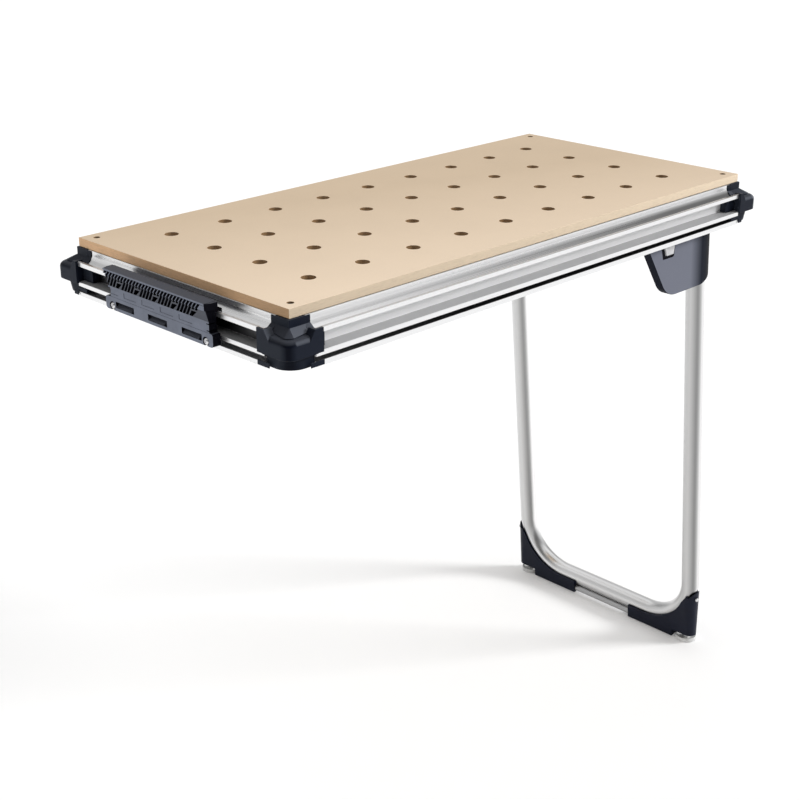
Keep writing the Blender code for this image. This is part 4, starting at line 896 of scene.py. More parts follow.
def rail_outline(slot_trim):
    """Rounded outline of the extrusion as (out, height) pairs; the trim narrows its slot at both edges."""
    slot_top = LOWER_LIP_BOTTOM - slot_trim
    slot_low = SLOT_FLOOR + slot_trim
    return rounded([
        (BAND_OUT, RAIL_TOP), (BAND_OUT, BAND_BOTTOM, BAND_ROUND),
        (GROOVE_OUT, GROOVE_BOTTOM, VALLEY_ROUND),
        (LIP_OUT - LIP_WIDTH, LIP_TOP), (LIP_OUT, LIP_TOP), (LIP_OUT, LIP_BOTTOM),
        (0, LIP_BOTTOM), (0, CHANNEL_FLOOR), (LIP_OUT, CHANNEL_FLOOR),
        (LIP_OUT, slot_top), (SLOT_OUT, slot_top), (SLOT_OUT, slot_low),
        (LIP_OUT, slot_low), (LIP_OUT, FRAME_BOTTOM), (-FLANGE_IN, FRAME_BOTTOM),
        (-FLANGE_IN, FRAME_BOTTOM + RAIL_WALL), (-RAIL_WALL, FRAME_BOTTOM + RAIL_WALL),
        (-RAIL_WALL, RAIL_TOP - RAIL_WALL), (-LEDGE_IN, RAIL_TOP - RAIL_WALL),
        (-LEDGE_IN, RAIL_TOP),
    ], EDGE_ROUND)


def shade_rail(body, axis, edge):
    """Marks the floor and walls of a rail's channel and the walls of its slot for their looks, which paint
    shade in the slot and channel and paint light on the long rails' channel wall.
    """
    for face in body.faces:
        middle = face.calc_center_median()
        out = abs(middle[axis]) - edge
        height = middle.z
        if not -EDGE_ROUND < out < LIP_OUT - 2 * EDGE_ROUND:
            continue
        part = "outside"
        if SLOT_FLOOR - EDGE_ROUND < height < LOWER_LIP_BOTTOM + EDGE_ROUND:
            part = "slot"
        elif abs(height - CHANNEL_FLOOR) < EDGE_ROUND:
            part = "floor"
        elif CHANNEL_FLOOR < height < LIP_BOTTOM + EDGE_ROUND:
            part = "wall"
        face.material_index = RAIL_PARTS.index(part)


def build_rail(name, side, edge, half, plane, slot_trim, looks):
    section = [(side * (edge + out), height) for out, height in rail_outline(slot_trim)]
    reach = half - RAIL_END_RUN
    body = prism(section, -reach, reach, plane)
    shade_rail(body, "XYZ".index(plane[0]), edge)
    piece(f"rail_{name}", body, looks, [f"{name}_rail"])


def build_rails():
    for name, side in SIDES:
        build_rail(name, side, HALF_WIDTH, HALF_LENGTH, "YZ", LONG_SLOT_TRIM, LONG_RAIL_LOOKS)
    for name, end in ENDS:
        build_rail(name, end, HALF_LENGTH, HALF_WIDTH, "XZ", 0, END_RAIL_LOOKS)


def corner_ring(height, out, radius, end_out):
    """Plan of a corner block at one height; the plate's corner is the origin, +X and +Y lead inward."""
    inner = RAIL_END_RUN - FIT_GAP
    bow = arc((radius - out, radius - out), radius, -math.pi / 2, -math.pi, CORNER_STEPS)
    plan = [(inner, -end_out), *bow, (-end_out, inner), (inner, inner)]
    return [(x, y, height) for x, y in plan]


def both_sides(outline, low, high):
    """The same upright outline on both sides of a corner."""
    return [prism(outline, low, high, plane) for plane in ("XZ", "YZ")]


def corner_body():
    """Collar, brow, domed bumper, neck and foot lip of a corner block, from the top down."""
    dome_top = BROW_HEIGHT - BROW_STEP
    rings = [corner_ring(RAIL_TOP - FIT_GAP, COLLAR_OUT, EDGE_ROUND, COLLAR_OUT),
             corner_ring(COLLAR_BOTTOM, COLLAR_OUT, EDGE_ROUND, COLLAR_OUT),
             corner_ring(BROW_HEIGHT, BROW_OUT, BROW_RADIUS, COVER_REACH),
             corner_ring(dome_top, BROW_OUT - EDGE_ROUND, BROW_RADIUS, COVER_REACH)]
    for step in range(DOME_STEPS + 1):
        turn = step / DOME_STEPS * math.pi / 2
        out = BROW_OUT + (BUMPER_OUT - BROW_OUT) * math.sin(turn)
        radius = BROW_RADIUS + (BUMPER_RADIUS - BROW_RADIUS) * math.sin(turn)
        height = dome_top + (BUMPER_TOP - dome_top) * (1 - math.cos(turn))
        rings.append(corner_ring(height - EDGE_ROUND, out, radius, out))
    for height, out, radius in ((BUMPER_BOTTOM + EDGE_ROUND, BUMPER_OUT, BUMPER_RADIUS),
                                (BUMPER_BOTTOM, BUMPER_OUT - EDGE_ROUND, BUMPER_RADIUS),
                                (BUMPER_BOTTOM - EDGE_ROUND, NECK_OUT, NECK_RADIUS),
                                (FOOT_LIP_BOTTOM + EDGE_ROUND, FOOT_LIP_OUT, FOOT_LIP_RADIUS),
                                (FOOT_LIP_BOTTOM, FOOT_LIP_OUT - EDGE_ROUND, FOOT_LIP_RADIUS)):
        rings.append(corner_ring(height, out, radius, out))
    return loft(rings)


def wing_outline(run, gap):
    """Side view of a corner's wing with its ear at the top, smaller by the gap."""
    top = EAR_TOP - gap
    bottom = WING_BOTTOM + gap
    root = WING_ROOT_RUN + gap
    return [(run, top), (WING_EAR_RUN + gap, top), (root, BUMPER_TOP - gap), (root, bottom), (run, bottom)]


def build_corners():
    cover_top = RAIL_TOP - 2 * FIT_GAP
    cover_out = COLLAR_OUT - FIT_GAP
    cover_low = COLLAR_BOTTOM - COVER_DROP
    band_face = BAND_OUT + FIT_GAP
    groove_slope = GROOVE_DROP / (GROOVE_OUT - BAND_OUT)
    cover = [(-band_face, cover_top), (-cover_out, cover_top), (-cover_out, COLLAR_BOTTOM),
             (-COVER_REACH, cover_low), (-GROOVE_OUT, cover_low - COVER_EDGE),
             (-band_face, BAND_BOTTOM + FIT_GAP - (band_face - BAND_OUT) * groove_slope)]
    flank = wing_outline(RAIL_END_RUN - FIT_GAP, FIT_GAP)
    insert = oblong(-FIT_GAP, LIP_BOTTOM - FIT_GAP, -INSERT_OUT, CHANNEL_FLOOR + FIT_GAP)
    strip = oblong(-SLOT_OUT - FIT_GAP, LOWER_LIP_BOTTOM - STRIP_CLEAR, -LIP_OUT, SLOT_FLOOR + STRIP_CLEAR)
    face = LIP_OUT + FIT_GAP
    start = RAIL_END_RUN - COLLAR_OUT
    quarter = math.pi / 2
    turns = {"front_left": 0, "front_right": quarter, "rear_right": 2 * quarter, "rear_left": -quarter}
    for name, turn in turns.items():
        near = name == "front_left"
        end = LEFT if "left" in name else RIGHT
        side = FRONT if "front" in name else REAR
        wing = wing_outline(NEAR_WING_RUN if near else WING_RUN, 0)
        tab = oblong(TAB_ROOT_RUN, TAB_TOP, NEAR_TAB_RUN if near else TAB_RUN, TAB_BOTTOM)
        plates = [*both_sides(wing, -BUMPER_OUT, -face),
                  *both_sides(flank, FIT_GAP - BUMPER_OUT, -WING_INNER_OUT)]
        bodies = [worked(corner_body(), (), CORNER_EDGE, joins=plates)]
        sets = [(cover, start, COLLAR_RUN), (insert, start, INSERT_RUN), (tab, -TAB_OUT, -face)]
        if not near:
            sets.append((strip, start, STRIP_RUN))
        for outline, low, high in sets:
            bodies += [worked(body, (), CORNER_EDGE) for body in both_sides(outline, low, high)]
        corner = Matrix.Translation((end * HALF_LENGTH, side * HALF_WIDTH, 0))
        place = TABLE @ corner @ Matrix.Rotation(turn, 4, "Z")
        piece(f"corner_block_{name}", merged(bodies), ["corner_plastic"], [f"corner_{name}"],
              place=place)


def left_x(out):
    return -HALF_LENGTH - out


def comb_face(height):
    """Distance out of the hook's front at a height: sloped over the comb, upright below it."""
    top = HOOK_TOP - HOOK_EDGE_HEIGHT
    share = min(max((top - height) / (top - COMB_BOTTOM), 0), 1)
    return HOOK_LEDGE_OUT + (HOOK_PLATE_OUT - HOOK_LEDGE_OUT) * share


def comb_cut(group, top_span, low_span, start, stop):
    """Leaning hollow of the comb; spans count slots along the group, start and stop are shares of height."""
    top = HOOK_TOP - HOOK_EDGE_HEIGHT
    pitch = COMB_GROUP_PITCH / COMB_GROUP_SLOTS
    rings = []
    for share, span in ((start, top_span), (stop, low_span)):
        height = top + (COMB_BOTTOM - top) * share
        front = left_x(comb_face(height) + HOOK_EDGE_HEIGHT)
        back = left_x(comb_face(height) - COMB_SLOT_DEPTH)
        first = COMB_FIRST_Y - group * COMB_GROUP_PITCH + COMB_LEAN * share
        left, right = [first - count * pitch for count in span]
        rings.append([(x, y, height) for x, y in oblong(front, left, back, right)])
    return loft(rings)


def comb_cuts():
    half = COMB_SLOT_SHARE / 2
    cuts = []
    for group in range(COMB_GROUPS):
        for slot in range(COMB_GROUP_SLOTS):
            stop = 1 if slot < COMB_LONG_SLOTS else COMB_SHORT_END
            span = (slot - half, slot + half)
            cuts.append(comb_cut(group, span, span, 0, stop))
        cuts.append(comb_cut(group, COMB_POCKET_TOP, COMB_POCKET_LOW, COMB_POCKET_START, 1))
    for slot in COMB_LEAD_SLOTS:
        span = (slot - half, slot + half)
        cuts.append(comb_cut(0, span, span, 0, COMB_SHORT_END))
    return cuts


def window_middles():
    return [count * WINDOW_PITCH for count in (-1, 0, 1)]


def window_ribs():
    """Ribbed ramp in each window of the hook's plate."""
    ramp_side = [(left_x(HOOK_PLATE_OUT - PANEL_DEPTH), WINDOW_BOTTOM - PANEL_DEPTH),
                 (left_x(HOOK_PLATE_OUT - PANEL_DEPTH), WINDOW_BOTTOM + PANEL_DEPTH),
                 (left_x(HOOK_PLATE_OUT - WINDOW_DEPTH), WINDOW_RAMP_TOP),
                 (left_x(HOOK_PLATE_OUT - WINDOW_DEPTH), WINDOW_BOTTOM - PANEL_DEPTH)]
    count = int((WINDOW_LENGTH - WINDOW_RAMP_CLEAR) / WINDOW_RIB_PITCH)
    ribs = []
    for middle in window_middles():
        for number in range(count):
            start = middle + WINDOW_LENGTH / 2 - number * WINDOW_RIB_PITCH
            ribs.append(prism(ramp_side, start - WINDOW_RIB_WIDTH, start, "XZ"))
    return ribs


def front_cut(out, left, right, low, high):
    """Square hollow in the hook's front, down to a distance out."""
    return block((left_x(HOOK_LEDGE_OUT), left, low), (left_x(out), right, high))


def front_cuts():
    """Windows, sunk panels, end slits and bolt seats."""
    cuts = []
    for middle in window_middles():
        cuts.append(front_cut(HOOK_PLATE_OUT - WINDOW_DEPTH, middle - WINDOW_LENGTH / 2,
                              middle + WINDOW_LENGTH / 2, WINDOW_BOTTOM, WINDOW_TOP))
    for group in range(COMB_GROUPS):
        middle = COMB_FIRST_Y + COMB_LEAN - (group + PANEL_GROUP_SHARE) * COMB_GROUP_PITCH
        cuts.append(front_cut(HOOK_PLATE_OUT - PANEL_DEPTH, middle - PANEL_LENGTH / 2,
                              middle + PANEL_LENGTH / 2, PANEL_BOTTOM, PANEL_TOP))
    for level in SLIT_LEVELS:
        low = level - SLIT_HEIGHT / 2
        cuts.append(front_cut(HOOK_BACK_OUT + END_WALL, -HOOK_FLANGE_HALF_WIDTH,
                              SLIT_LENGTH - HOOK_HALF_WIDTH, low, low + SLIT_HEIGHT))
    for side in (FRONT, REAR):
        cuts.append(rod((side * BOLT_SPREAD / 2, BOLT_LEVEL), BOLT_SEAT_DIAMETER, left_x(HOOK_LEDGE_OUT),
                        left_x(HOOK_PLATE_OUT - BOLT_SEAT_DEPTH), "YZ"))
    return cuts


def hook_body():
    lip_seat = LIP_TOP + FIT_GAP
    lip_edge = LIP_OUT - LIP_WIDTH
    tongue_slope = LIP_RISE / (lip_edge - GROOVE_OUT)
    tongue_tip = GROOVE_BOTTOM + (HOOK_TONGUE_OUT - GROOVE_OUT) * tongue_slope + HOOK_TONGUE_GAP
    side_view = [
        (HOOK_BACK_OUT, HOOK_TOP), (HOOK_LEDGE_OUT, HOOK_TOP), (HOOK_LEDGE_OUT, HOOK_TOP - HOOK_EDGE_HEIGHT),
        (HOOK_PLATE_OUT, COMB_BOTTOM), (HOOK_PLATE_OUT, HOOK_BOTTOM), (HOOK_BACK_OUT, HOOK_BOTTOM),
        (HOOK_BACK_OUT, lip_seat), (lip_edge, lip_seat), (HOOK_TONGUE_OUT, tongue_tip),
        (HOOK_TONGUE_OUT, lip_seat + HOOK_TONGUE_HEIGHT / 2), (lip_edge, lip_seat + HOOK_TONGUE_HEIGHT),
        (HOOK_BACK_OUT, lip_seat + HOOK_TONGUE_HEIGHT),
    ]
    side_view = [(left_x(out), height) for out, height in side_view]
    main = prism(side_view, -HOOK_HALF_WIDTH, HOOK_HALF_WIDTH, "XZ")
    plan = [(HOOK_BACK_OUT, HOOK_LEDGE_HALF_WIDTH), (HOOK_LEDGE_STEP_OUT, HOOK_LEDGE_HALF_WIDTH),
            (HOOK_LEDGE_OUT - FIT_GAP, HOOK_HALF_WIDTH), (HOOK_LEDGE_OUT - FIT_GAP, -HOOK_HALF_WIDTH),
            (HOOK_LEDGE_STEP_OUT, -HOOK_LEDGE_HALF_WIDTH), (HOOK_BACK_OUT, -HOOK_LEDGE_HALF_WIDTH)]
    ledge = prism([(left_x(out), y) for out, y in plan], HOOK_LEDGE_BOTTOM, HOOK_TOP - FIT_GAP, "XY")
    face = oblong(HOOK_FLANGE_HALF_WIDTH, HOOK_FLANGE_TOP, -HOOK_FLANGE_HALF_WIDTH, HOOK_BOTTOM - FIT_GAP)
    face = rounded(face, HOOK_FLANGE_RADIUS)
    flange = prism(face, left_x(HOOK_PLATE_OUT + FIT_GAP), left_x(HOOK_BACK_OUT), "YZ")
    notch = front_cut(HOOK_BACK_OUT + END_WALL, HOOK_HALF_WIDTH - END_NOTCH, HOOK_FLANGE_HALF_WIDTH,
                      END_NOTCH_BOTTOM, END_NOTCH_TOP)
    cuts = [merged(comb_cuts()), merged(front_cuts()), notch]
    return worked(main, cuts, HOOK_EDGE, 1, joins=[ledge, flange])


def build_hook():
    body = hook_body()
    body.normal_update()
    kinds = ("hook_plastic", "hook_plate_plastic", "shaded_hollow", "hook_rib_plastic")
    for face in body.faces:
        middle = face.calc_center_median()
        out = -HALF_LENGTH - middle.x
        inside = (HOOK_BACK_OUT + PANEL_DEPTH < out < comb_face(middle.z) - 2 * PANEL_DEPTH
                  and abs(middle.y) < HOOK_HALF_WIDTH - PANEL_DEPTH
                  and HOOK_BOTTOM + PANEL_DEPTH < middle.z < HOOK_TOP - 2 * PANEL_DEPTH)
        # Hollows and the faces that face along the rail take painted shade
        kind = "hook_plastic"
        if inside or abs(face.normal.y) > HOOK_END_FACING:
            kind = "shaded_hollow"
        elif face.normal.x < -HOOK_PLATE_FACING:
            kind = "hook_plate_plastic"
        elif face.normal.x < -HOOK_END_FACING:
            kind = "hook_rib_plastic"
        face.material_index = kinds.index(kind)
    ribs = merged(window_ribs())
    for face in ribs.faces:
        face.material_index = kinds.index("hook_rib_plastic")
    piece("hook_bracket_comb", merged([body, ribs]), kinds, ["hook_bracket"])
    turn = Matrix.Rotation(-math.pi / 2, 4, "Y")
    head = left_x(HOOK_PLATE_OUT - BOLT_SEAT_DEPTH + BOLT_HEAD_HEIGHT)
    for name, side in SIDES:
        place = TABLE @ Matrix.Translation((head, side * BOLT_SPREAD / 2, BOLT_LEVEL)) @ turn
        bolt = hook_bolt()
        piece(f"hook_bolt_head_{name}", bolt, ["zinc_steel"], [f"hook_bolt_{name}"], place=place)


def hook_bolt():
    """Screw with a domed head and hexagon socket; its head's top is the origin and it runs down -Z."""
    dome = arc((0, -BOLT_HEAD_HEIGHT), BOLT_HEAD_HEIGHT, math.pi / 2, 0, HEAD_STEPS)
    profile = [(x / BOLT_HEAD_HEIGHT * BOLT_HEAD_DIAMETER / 2, z) for x, z in dome]
    profile[0] = (0, 0)
    profile += [(BOLT_DIAMETER / 2, -BOLT_HEAD_HEIGHT), (BOLT_DIAMETER / 2, -BOLT_LENGTH), (0, -BOLT_LENGTH)]
    depth = BOLT_HEAD_HEIGHT * SOCKET_SHARE
    socket = rod((0, 0), BOLT_HEAD_DIAMETER * SOCKET_SHARE, -depth, BOLT_HEAD_HEIGHT, "XY", HEXAGON)
    return worked(lathe(profile), [socket])


def housing_outline(inset):
    """Side view of a leg housing: slanted left edge, round lower corner, chamfered lower right."""
    slope = math.atan2(1, HOUSING_SLANT)
    left = PIVOT_X - HOUSING_LEFT + inset * math.hypot(1, HOUSING_SLANT)
    top = HOUSING_TOP - inset
    bottom = HOUSING_BOTTOM + inset
    corner_x = left + HOUSING_SLANT * (HOUSING_TOP - bottom)
    radius = HOUSING_CORNER_RADIUS - inset
    centre = (corner_x + radius * math.tan(slope / 2), bottom + radius)
    corner = arc(centre, radius, 3 * math.pi / 2 - slope, 3 * math.pi / 2, HOUSING_CORNER_STEPS)
    right = PIVOT_X + HOUSING_CHAMFER_RIGHT - inset
    return [(left + HOUSING_SLANT * inset, top), *corner, (PIVOT_X - HOUSING_CHAMFER_LEFT, bottom),
            (right, bottom + HOUSING_CHAMFER_RISE), (right, top)]


def wrap_body(side, inset, from_y, to_y, low, high):
    """Body round at its right end that leans with the leg; it trims a housing or hollows it."""
    radius = HOUSING_WRAP_RADIUS
    centre = (PIVOT_X - HOUSING_WRAP_LEFT, HOUSING_FACE - radius)
    reach = radius - inset
    start = math.asin((from_y - centre[1]) / reach)
    stop = math.asin(min(1, (to_y - centre[1]) / reach))
    bow = arc(centre, reach, start, stop, HOUSING_WRAP_STEPS)
    far_left = PIVOT_X - HOUSING_LEFT - HOUSING_WALL
    plan = [(far_left, from_y), *bow, (far_left, bow[-1][1])]
    rings = [[(x + HOUSING_LEAN * (HOUSING_TOP - height), side * y, height) for x, y in plan]
             for height in (low, high)]
    return loft(rings)


def button_outline(gap):
    bottom = HOUSING_TOP - BUTTON_HEIGHT + gap
    left = PIVOT_X - BUTTON_LEFT + gap
    right = PIVOT_X - BUTTON_RIGHT - gap
    return [(left, HOUSING_TOP), (left + BUTTON_TAPER_LEFT, bottom), (right - BUTTON_TAPER_RIGHT, bottom),
            (right, HOUSING_TOP)]


def recess_outline():
    """Sunk field round the button, wider at its left and below it, open at the top."""
    top_left, low_left, low_right, top_right = button_outline(0)
    above = HOUSING_TOP + HOUSING_WALL
    below = low_left[1] - RECESS_BELOW
    field = [(top_left[0] - RECESS_LEFT, above, 0), (low_left[0] - RECESS_LEFT, below),
             (low_right[0] + RECESS_RIGHT, below), (top_right[0] + RECESS_RIGHT, above, 0)]
    return rounded(field, HOUSING_WALL)


def build_housing(name, side):
    inner_side = HOUSING_FACE - HOUSING_DEPTH
    shell = prism(housing_outline(0), side * HOUSING_FACE, side * inner_side, "XZ")
    low = HOUSING_BOTTOM - HOUSING_WALL
    high = HOUSING_TOP + HOUSING_WALL
    outer = wrap_body(side, 0, inner_side, HOUSING_FACE + HOUSING_WALL, low, high)
    hollow = wrap_body(side, HOUSING_WALL, inner_side - HOUSING_WALL, HOUSING_INNER, low - HOUSING_WALL,
                       high + HOUSING_WALL)
    pocket = [(min(x, PIVOT_X - HOUSING_CHAMFER_LEFT), z) for x, z in housing_outline(HOUSING_WALL)]
    inside = prism(pocket, side * (HOUSING_FACE - HOUSING_WALL), side * (HOUSING_INNER - HOUSING_WALL), "XZ")
    opening = button_outline(0)
    way = [(opening[0][0], high), *opening, (opening[-1][0], high)]
    front = side * (HOUSING_FACE + HOUSING_WALL)
    passage = prism(way, front, side * (HOUSING_INNER - HOUSING_WALL), "XZ")
    field = prism(recess_outline(), front, side * (HOUSING_FACE - RECESS_DEPTH), "XZ")
    shell = worked(shell, [hollow, inside], HOUSING_EDGE, 3, trims=[outer])
    hinge = (PIVOT_X, PIVOT.z - TABLE_HEIGHT)
    boss = rod(hinge, BOSS_DIAMETER, side * (HOUSING_INNER + BOSS_ROOT),
               side * (LEG_Y + KNUCKLE_OUTWARD + FIT_GAP), "XZ")
    bore = rod(hinge, PIN_DIAMETER + 2 * FIT_GAP, side * HOUSING_INNER, 0, "XZ")
    shell = worked(shell, [passage, field, bore], joins=[boss])
    # The sunk field round the button takes painted shade
    kinds = ("housing_plastic", "shaded_hollow")
    for face in shell.faces:
        middle = face.calc_center_median()
        sunk = abs(middle.y) < HOUSING_FACE - RECESS_DEPTH / 4
        high_enough = middle.z > HOUSING_TOP - BUTTON_HEIGHT - 2 * RECESS_BELOW
        if sunk and high_enough and abs(middle.x - opening[0][0]) < FIELD_REACH:
            face.material_index = kinds.index("shaded_hollow")
    piece(f"housing_shell_{name}", shell, kinds, [f"leg_housing_{name}"])
    tab = [(x, z - (FIT_GAP if z == HOUSING_TOP else 0)) for x, z in button_outline(BUTTON_GAP)]
    face = HOUSING_FACE + BUTTON_PROUD
    button = worked(prism(tab, side * face, side * (face - BUTTON_DEPTH), "XZ"), (), BUTTON_EDGE, 3)
    piece(f"release_tab_{name}", button, ["silver_plastic"], [f"release_button_{name}"],
          f"button_{name}")


def foot_rail_centre():
    reach = TUBE_RADIUS + FOOT_RAIL_DIAMETER / 2 + FIT_GAP
    return -reach * math.sin(FOOT_RAIL_ANGLE), -CROSSBAR_REACH - reach * math.cos(FOOT_RAIL_ANGLE)


def cap_outline():
    """Cap seen along X: outside edge, bottom, inner end, then along the bend up to the shoulder and tip."""
    outer = LEG_Y + TUBE_RADIUS + 2 * CAP_SKIN
    bottom = foot_rail_centre()[1] - FOOT_RAIL_DIAMETER / 2 - CAP_BOTTOM_SKIN
    tip = -CROSSBAR_REACH + CAP_TIP_RISE
    shoulder = tip - CAP_SHOULDER_DROP
    bend = arc((LEG_Y - BEND_RADIUS, -CROSSBAR_REACH + BEND_RADIUS), BEND_RADIUS + CAP_SKIN / 2,
               3 * math.pi / 2, 2 * math.pi, CAP_STEPS)
    rising = [(y, z) for y, z in bend if z < shoulder - CAP_CORNER]
    return [(outer, tip), (outer, bottom), (CAP_INNER_REACH, bottom), (CAP_INNER_REACH, bend[0][1]), *rising,
            (LEG_Y + CAP_SKIN, shoulder), (LEG_Y + TUBE_RADIUS / 2, shoulder), (outer - 2 * CAP_SKIN, tip)]


def cap_ring(side, back, outer, height):
    """Round-ended plan of a cap at one height."""
    radius = (CAP_FRONT + back) / 2
    middle = (back - CAP_FRONT) / 2
    end = arc((middle, outer - radius), radius, 0, math.pi, CAP_STEPS)
    return [(x, side * y, height) for x, y in [(middle + radius, 0), *end, (middle - radius, 0)]]


def build_cap(name, side):
    back = TUBE_RADIUS + CAP_SKIN
    outer = LEG_Y + back
    tip = -CROSSBAR_REACH + CAP_TIP_RISE
    low = -CROSSBAR_REACH - LEG_TUBE_DIAMETER
    envelope = loft([cap_ring(side, back - CAP_BACK_TAPER, outer - CAP_TAPER, low),
                     cap_ring(side, back, outer, tip + CAP_SKIN)])
    body = prism([(side * y, z) for y, z in cap_outline()], -CAP_FRONT - CAP_SKIN, back + CAP_SKIN, "YZ")
    tube = loft(tube_rings(leg_path(), TUBE_RADIUS + FIT_GAP))
    inner = PAD_CENTRE.y - PAD_RADIUS - CAP_PAD_CLEAR
    near, far = sorted((side * inner, side * (outer + CAP_SKIN)))
    clearance = block((PAD_CENTRE.x - 2 * PAD_RADIUS, near, -PAD_HEIGHT),
                      (PAD_CENTRE.x + 2 * PAD_RADIUS, far, CAP_PAD_RISE))
    stem = (PAD_CENTRE.x, side * PAD_CENTRE.y)
    bore = rod(stem, 2 * (STEM_RADIUS + STEM_CLEAR), 0, STEM_TOP + STEM_CLEAR, "XY")
    for cutter in (clearance, bore):
        cutter.transform(LEG.inverted())
    body = worked(body, [tube, clearance, bore], trims=[envelope])
    piece(f"foot_cap_shell_{name}", body, ["cap_plastic"], [f"foot_cap_{name}"], "leg", LEG)


def build_foot(name, side):
    place = Matrix.Translation((PAD_CENTRE.x, side * PAD_CENTRE.y, 0))
    dish = [(PAD_RADIUS * across, PAD_HEIGHT * up) for across, up in DISH_PROFILE]
    piece(f"level_pad_{name}", lathe(dish, PAD_SIDES), ["pale_plastic"],
          [f"level_foot_{name}"], f"foot_{name}", place)
    thread = [(0, STEM_BOTTOM)]
    core = STEM_RADIUS - STEM_THREAD
    turns = int((STEM_TOP - STEM_BOTTOM) / STEM_PITCH)
    for turn in range(turns):
        height = STEM_BOTTOM + turn * STEM_PITCH
        thread += [(core, height), (STEM_RADIUS, height + STEM_PITCH / 2)]
    top = STEM_BOTTOM + turns * STEM_PITCH
    thread += [(core, top), (0, top)]
    nut = rod((0, 0), 2 * STEM_NUT_WIDTH / math.sqrt(3), STEM_NUT_LOW, STEM_NUT_HIGH, "XY", HEXAGON)
    stem = merged([lathe(thread), worked(nut, (), STEM_NUT_EDGE)])
    piece(f"level_stem_{name}", stem, ["zinc_steel"], [f"foot_stem_{name}"], f"foot_{name}", place)


def leg_path():
    """Middle line of the bent tube, front end first, as (y, z) pairs."""
    bend_y = LEG_Y - BEND_RADIUS
    bend_z = -CROSSBAR_REACH + BEND_RADIUS
    front_bend = arc((-bend_y, bend_z), BEND_RADIUS, math.pi, 3 * math.pi / 2, BEND_STEPS)
    rear_bend = arc((bend_y, bend_z), BEND_RADIUS, 3 * math.pi / 2, 2 * math.pi, BEND_STEPS)
    return [(-LEG_Y, -KNUCKLE_NECK), *front_bend, *rear_bend, (LEG_Y, -KNUCKLE_NECK)]


def tube_rings(path, radius):
    """Round rings square to a path that lies in the leg's own plane."""
    rings = []
    for index, (y, z) in enumerate(path):
        before = Vector(path[max(index - 1, 0)])
        after = Vector(path[min(index + 1, len(path) - 1)])
        ahead = (after - before).normalized()
        rings.append([(x, y - out * ahead.y, z + out * ahead.x)
                      for x, out in circle((0, 0), radius, LEG_TUBE_SIDES)])
    return rings


def build_tube():
    path = leg_path()
    outside = tube_rings(path, TUBE_RADIUS)
    inside = tube_rings(path, TUBE_RADIUS - LEG_TUBE_WALL)
    tube = loft([*outside, *reversed(inside), outside[0]], capped=False)
    bmesh.ops.remove_doubles(tube, verts=tube.verts, dist=WELD_DISTANCE)
    piece("leg_tube_bent", tube, ["aluminium_tube"], ["leg_tube"], "leg", LEG)


def dress_nodes():
    """Looks for the solids that the frame still shows."""
    for name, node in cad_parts.items():
        if node.hide_render:
            continue
        for word, look in NODE_LOOKS:
            if word in name:
                node.data.materials.clear()
                node.data.materials.append(LOOKS[look])
                break


def build_camera():
    lens = bpy.data.cameras.new("photo_camera")
    lens.lens = CAMERA_LENS
    lens.sensor_width = SENSOR_WIDTH
    lens.clip_end = CAMERA_CLIP
    camera = linked("photo_camera", lens)
    right = Vector(CAMERA_RIGHT)
    back = -Vector(CAMERA_AHEAD)
    up = back.cross(right)
    turn = Matrix((right, up, back)).transposed().to_4x4()
    camera.matrix_world = Matrix.Translation(CAMERA_PLACE) @ turn
    bpy.context.scene.camera = camera


def seen_white(tree, mirrored):
    """1 for rays from the camera and through glass, and the mirrored share for rays off metal."""
    rays = add(tree, "LightPath", {}).outputs
    metal = maths(tree, "MULTIPLY_ADD", rays["Is Glossy Ray"], mirrored, rays["Is Camera Ray"])
    return maths(tree, "ADD", metal, rays["Is Transmission Ray"], clamp=True)


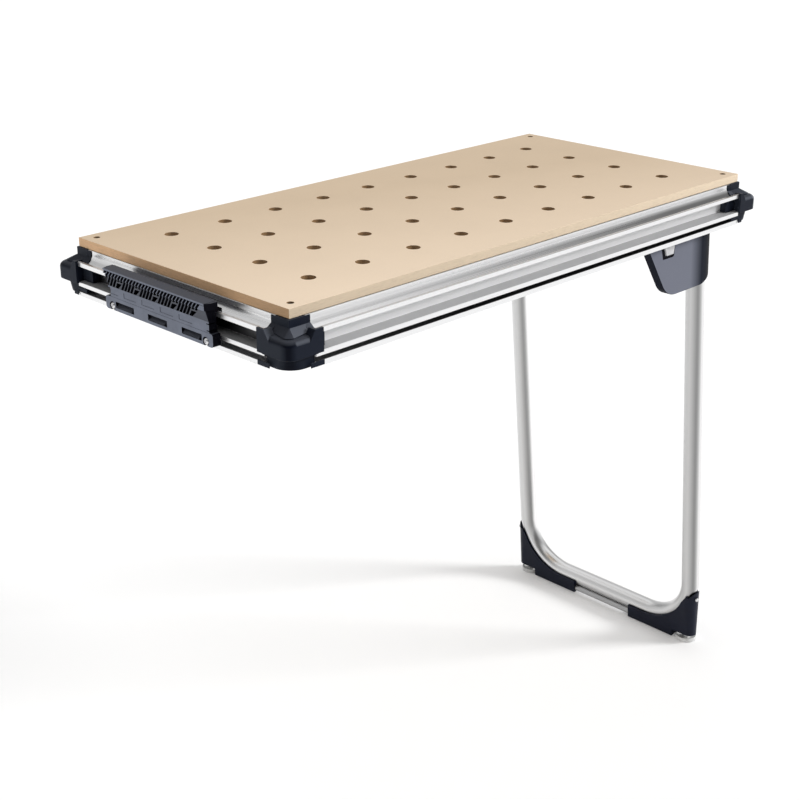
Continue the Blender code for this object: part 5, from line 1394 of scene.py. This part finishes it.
def build_floor():
    tree = new_look("pale_floor")
    cloud = grain(tree, EVEN, *FLOOR_NOISE)
    dress(tree, {
        "Base Color": ramp(tree, cloud, NOISE_SPAN, [grey(level) for level in FLOOR_TONES]),
        "Roughness": FLOOR_ROUGHNESS,
        "Specular IOR Level": 0.0,
        "Emission Color": WHITE,
        "Emission Strength": maths(tree, "MULTIPLY", seen_white(tree, 1.0), FLOOR_LIFT),
    })
    half = FLOOR_SPAN / 2
    corners = [(x, y, 0) for x, y in oblong(-half, -half, half, half)]
    mesh = bpy.data.meshes.new("floor")
    mesh.from_pydata(corners, [], [range(len(corners))])
    mesh.materials.append(LOOKS["pale_floor"])
    floor = linked("floor", mesh)


def build_light():
    sun = bpy.data.lights.new("key", "SUN")
    sun.energy = KEY_STRENGTH
    sun.angle = KEY_ANGLE
    key = linked("key", sun)
    key.visible_glossy = False
    key.rotation_euler = KEY_TOWARDS.to_track_quat("Z", "Y").to_euler()
    world = bpy.data.worlds.new("studio")
    world.use_nodes = True
    bpy.context.scene.world = world
    tree = world.node_tree
    tree.nodes.clear()
    height = along(tree, Z_AXIS, "Generated")
    nearness = spread(tree, along(tree, (*CAMERA_AHEAD[:2], 0.0), "Generated"), -1.0, 1.0)
    beside = maths(tree, "ABSOLUTE", along(tree, SIDE_LIGHT_TOWARDS, "Generated"))
    panels = spread(tree, beside, SIDE_LIGHT_FROM, SIDE_LIGHT_TO)
    walls = mixed(tree, panels, grey_ramp(tree, nearness, WALL_TONES), (*grey(SIDE_LIGHT_LEVEL), 1.0))
    sky = mixed(tree, spread(tree, height, SOFTBOX_FROM, SOFTBOX_TO), walls,
                grey_ramp(tree, height, SOFTBOX_TONES))
    studio = add(tree, "Background", {"Color": sky})
    white = add(tree, "Background", {"Color": WHITE})
    choose = add(tree, "MixShader", {"Fac": seen_white(tree, MIRRORED_WHITE), 1: studio.outputs[0],
                                     2: white.outputs[0]})
    add(tree, "OutputWorld", {"Surface": choose.outputs[0]})


bpy.context.scene.view_settings.view_transform = "Standard"
build_looks()
build_top()
build_rails()
build_corners()
build_hook()
build_tube()
for side_name, side_sign in SIDES:
    build_housing(side_name, side_sign)
    build_cap(side_name, side_sign)
    build_foot(side_name, side_sign)
dress_nodes()
build_floor()
build_light()
build_camera()
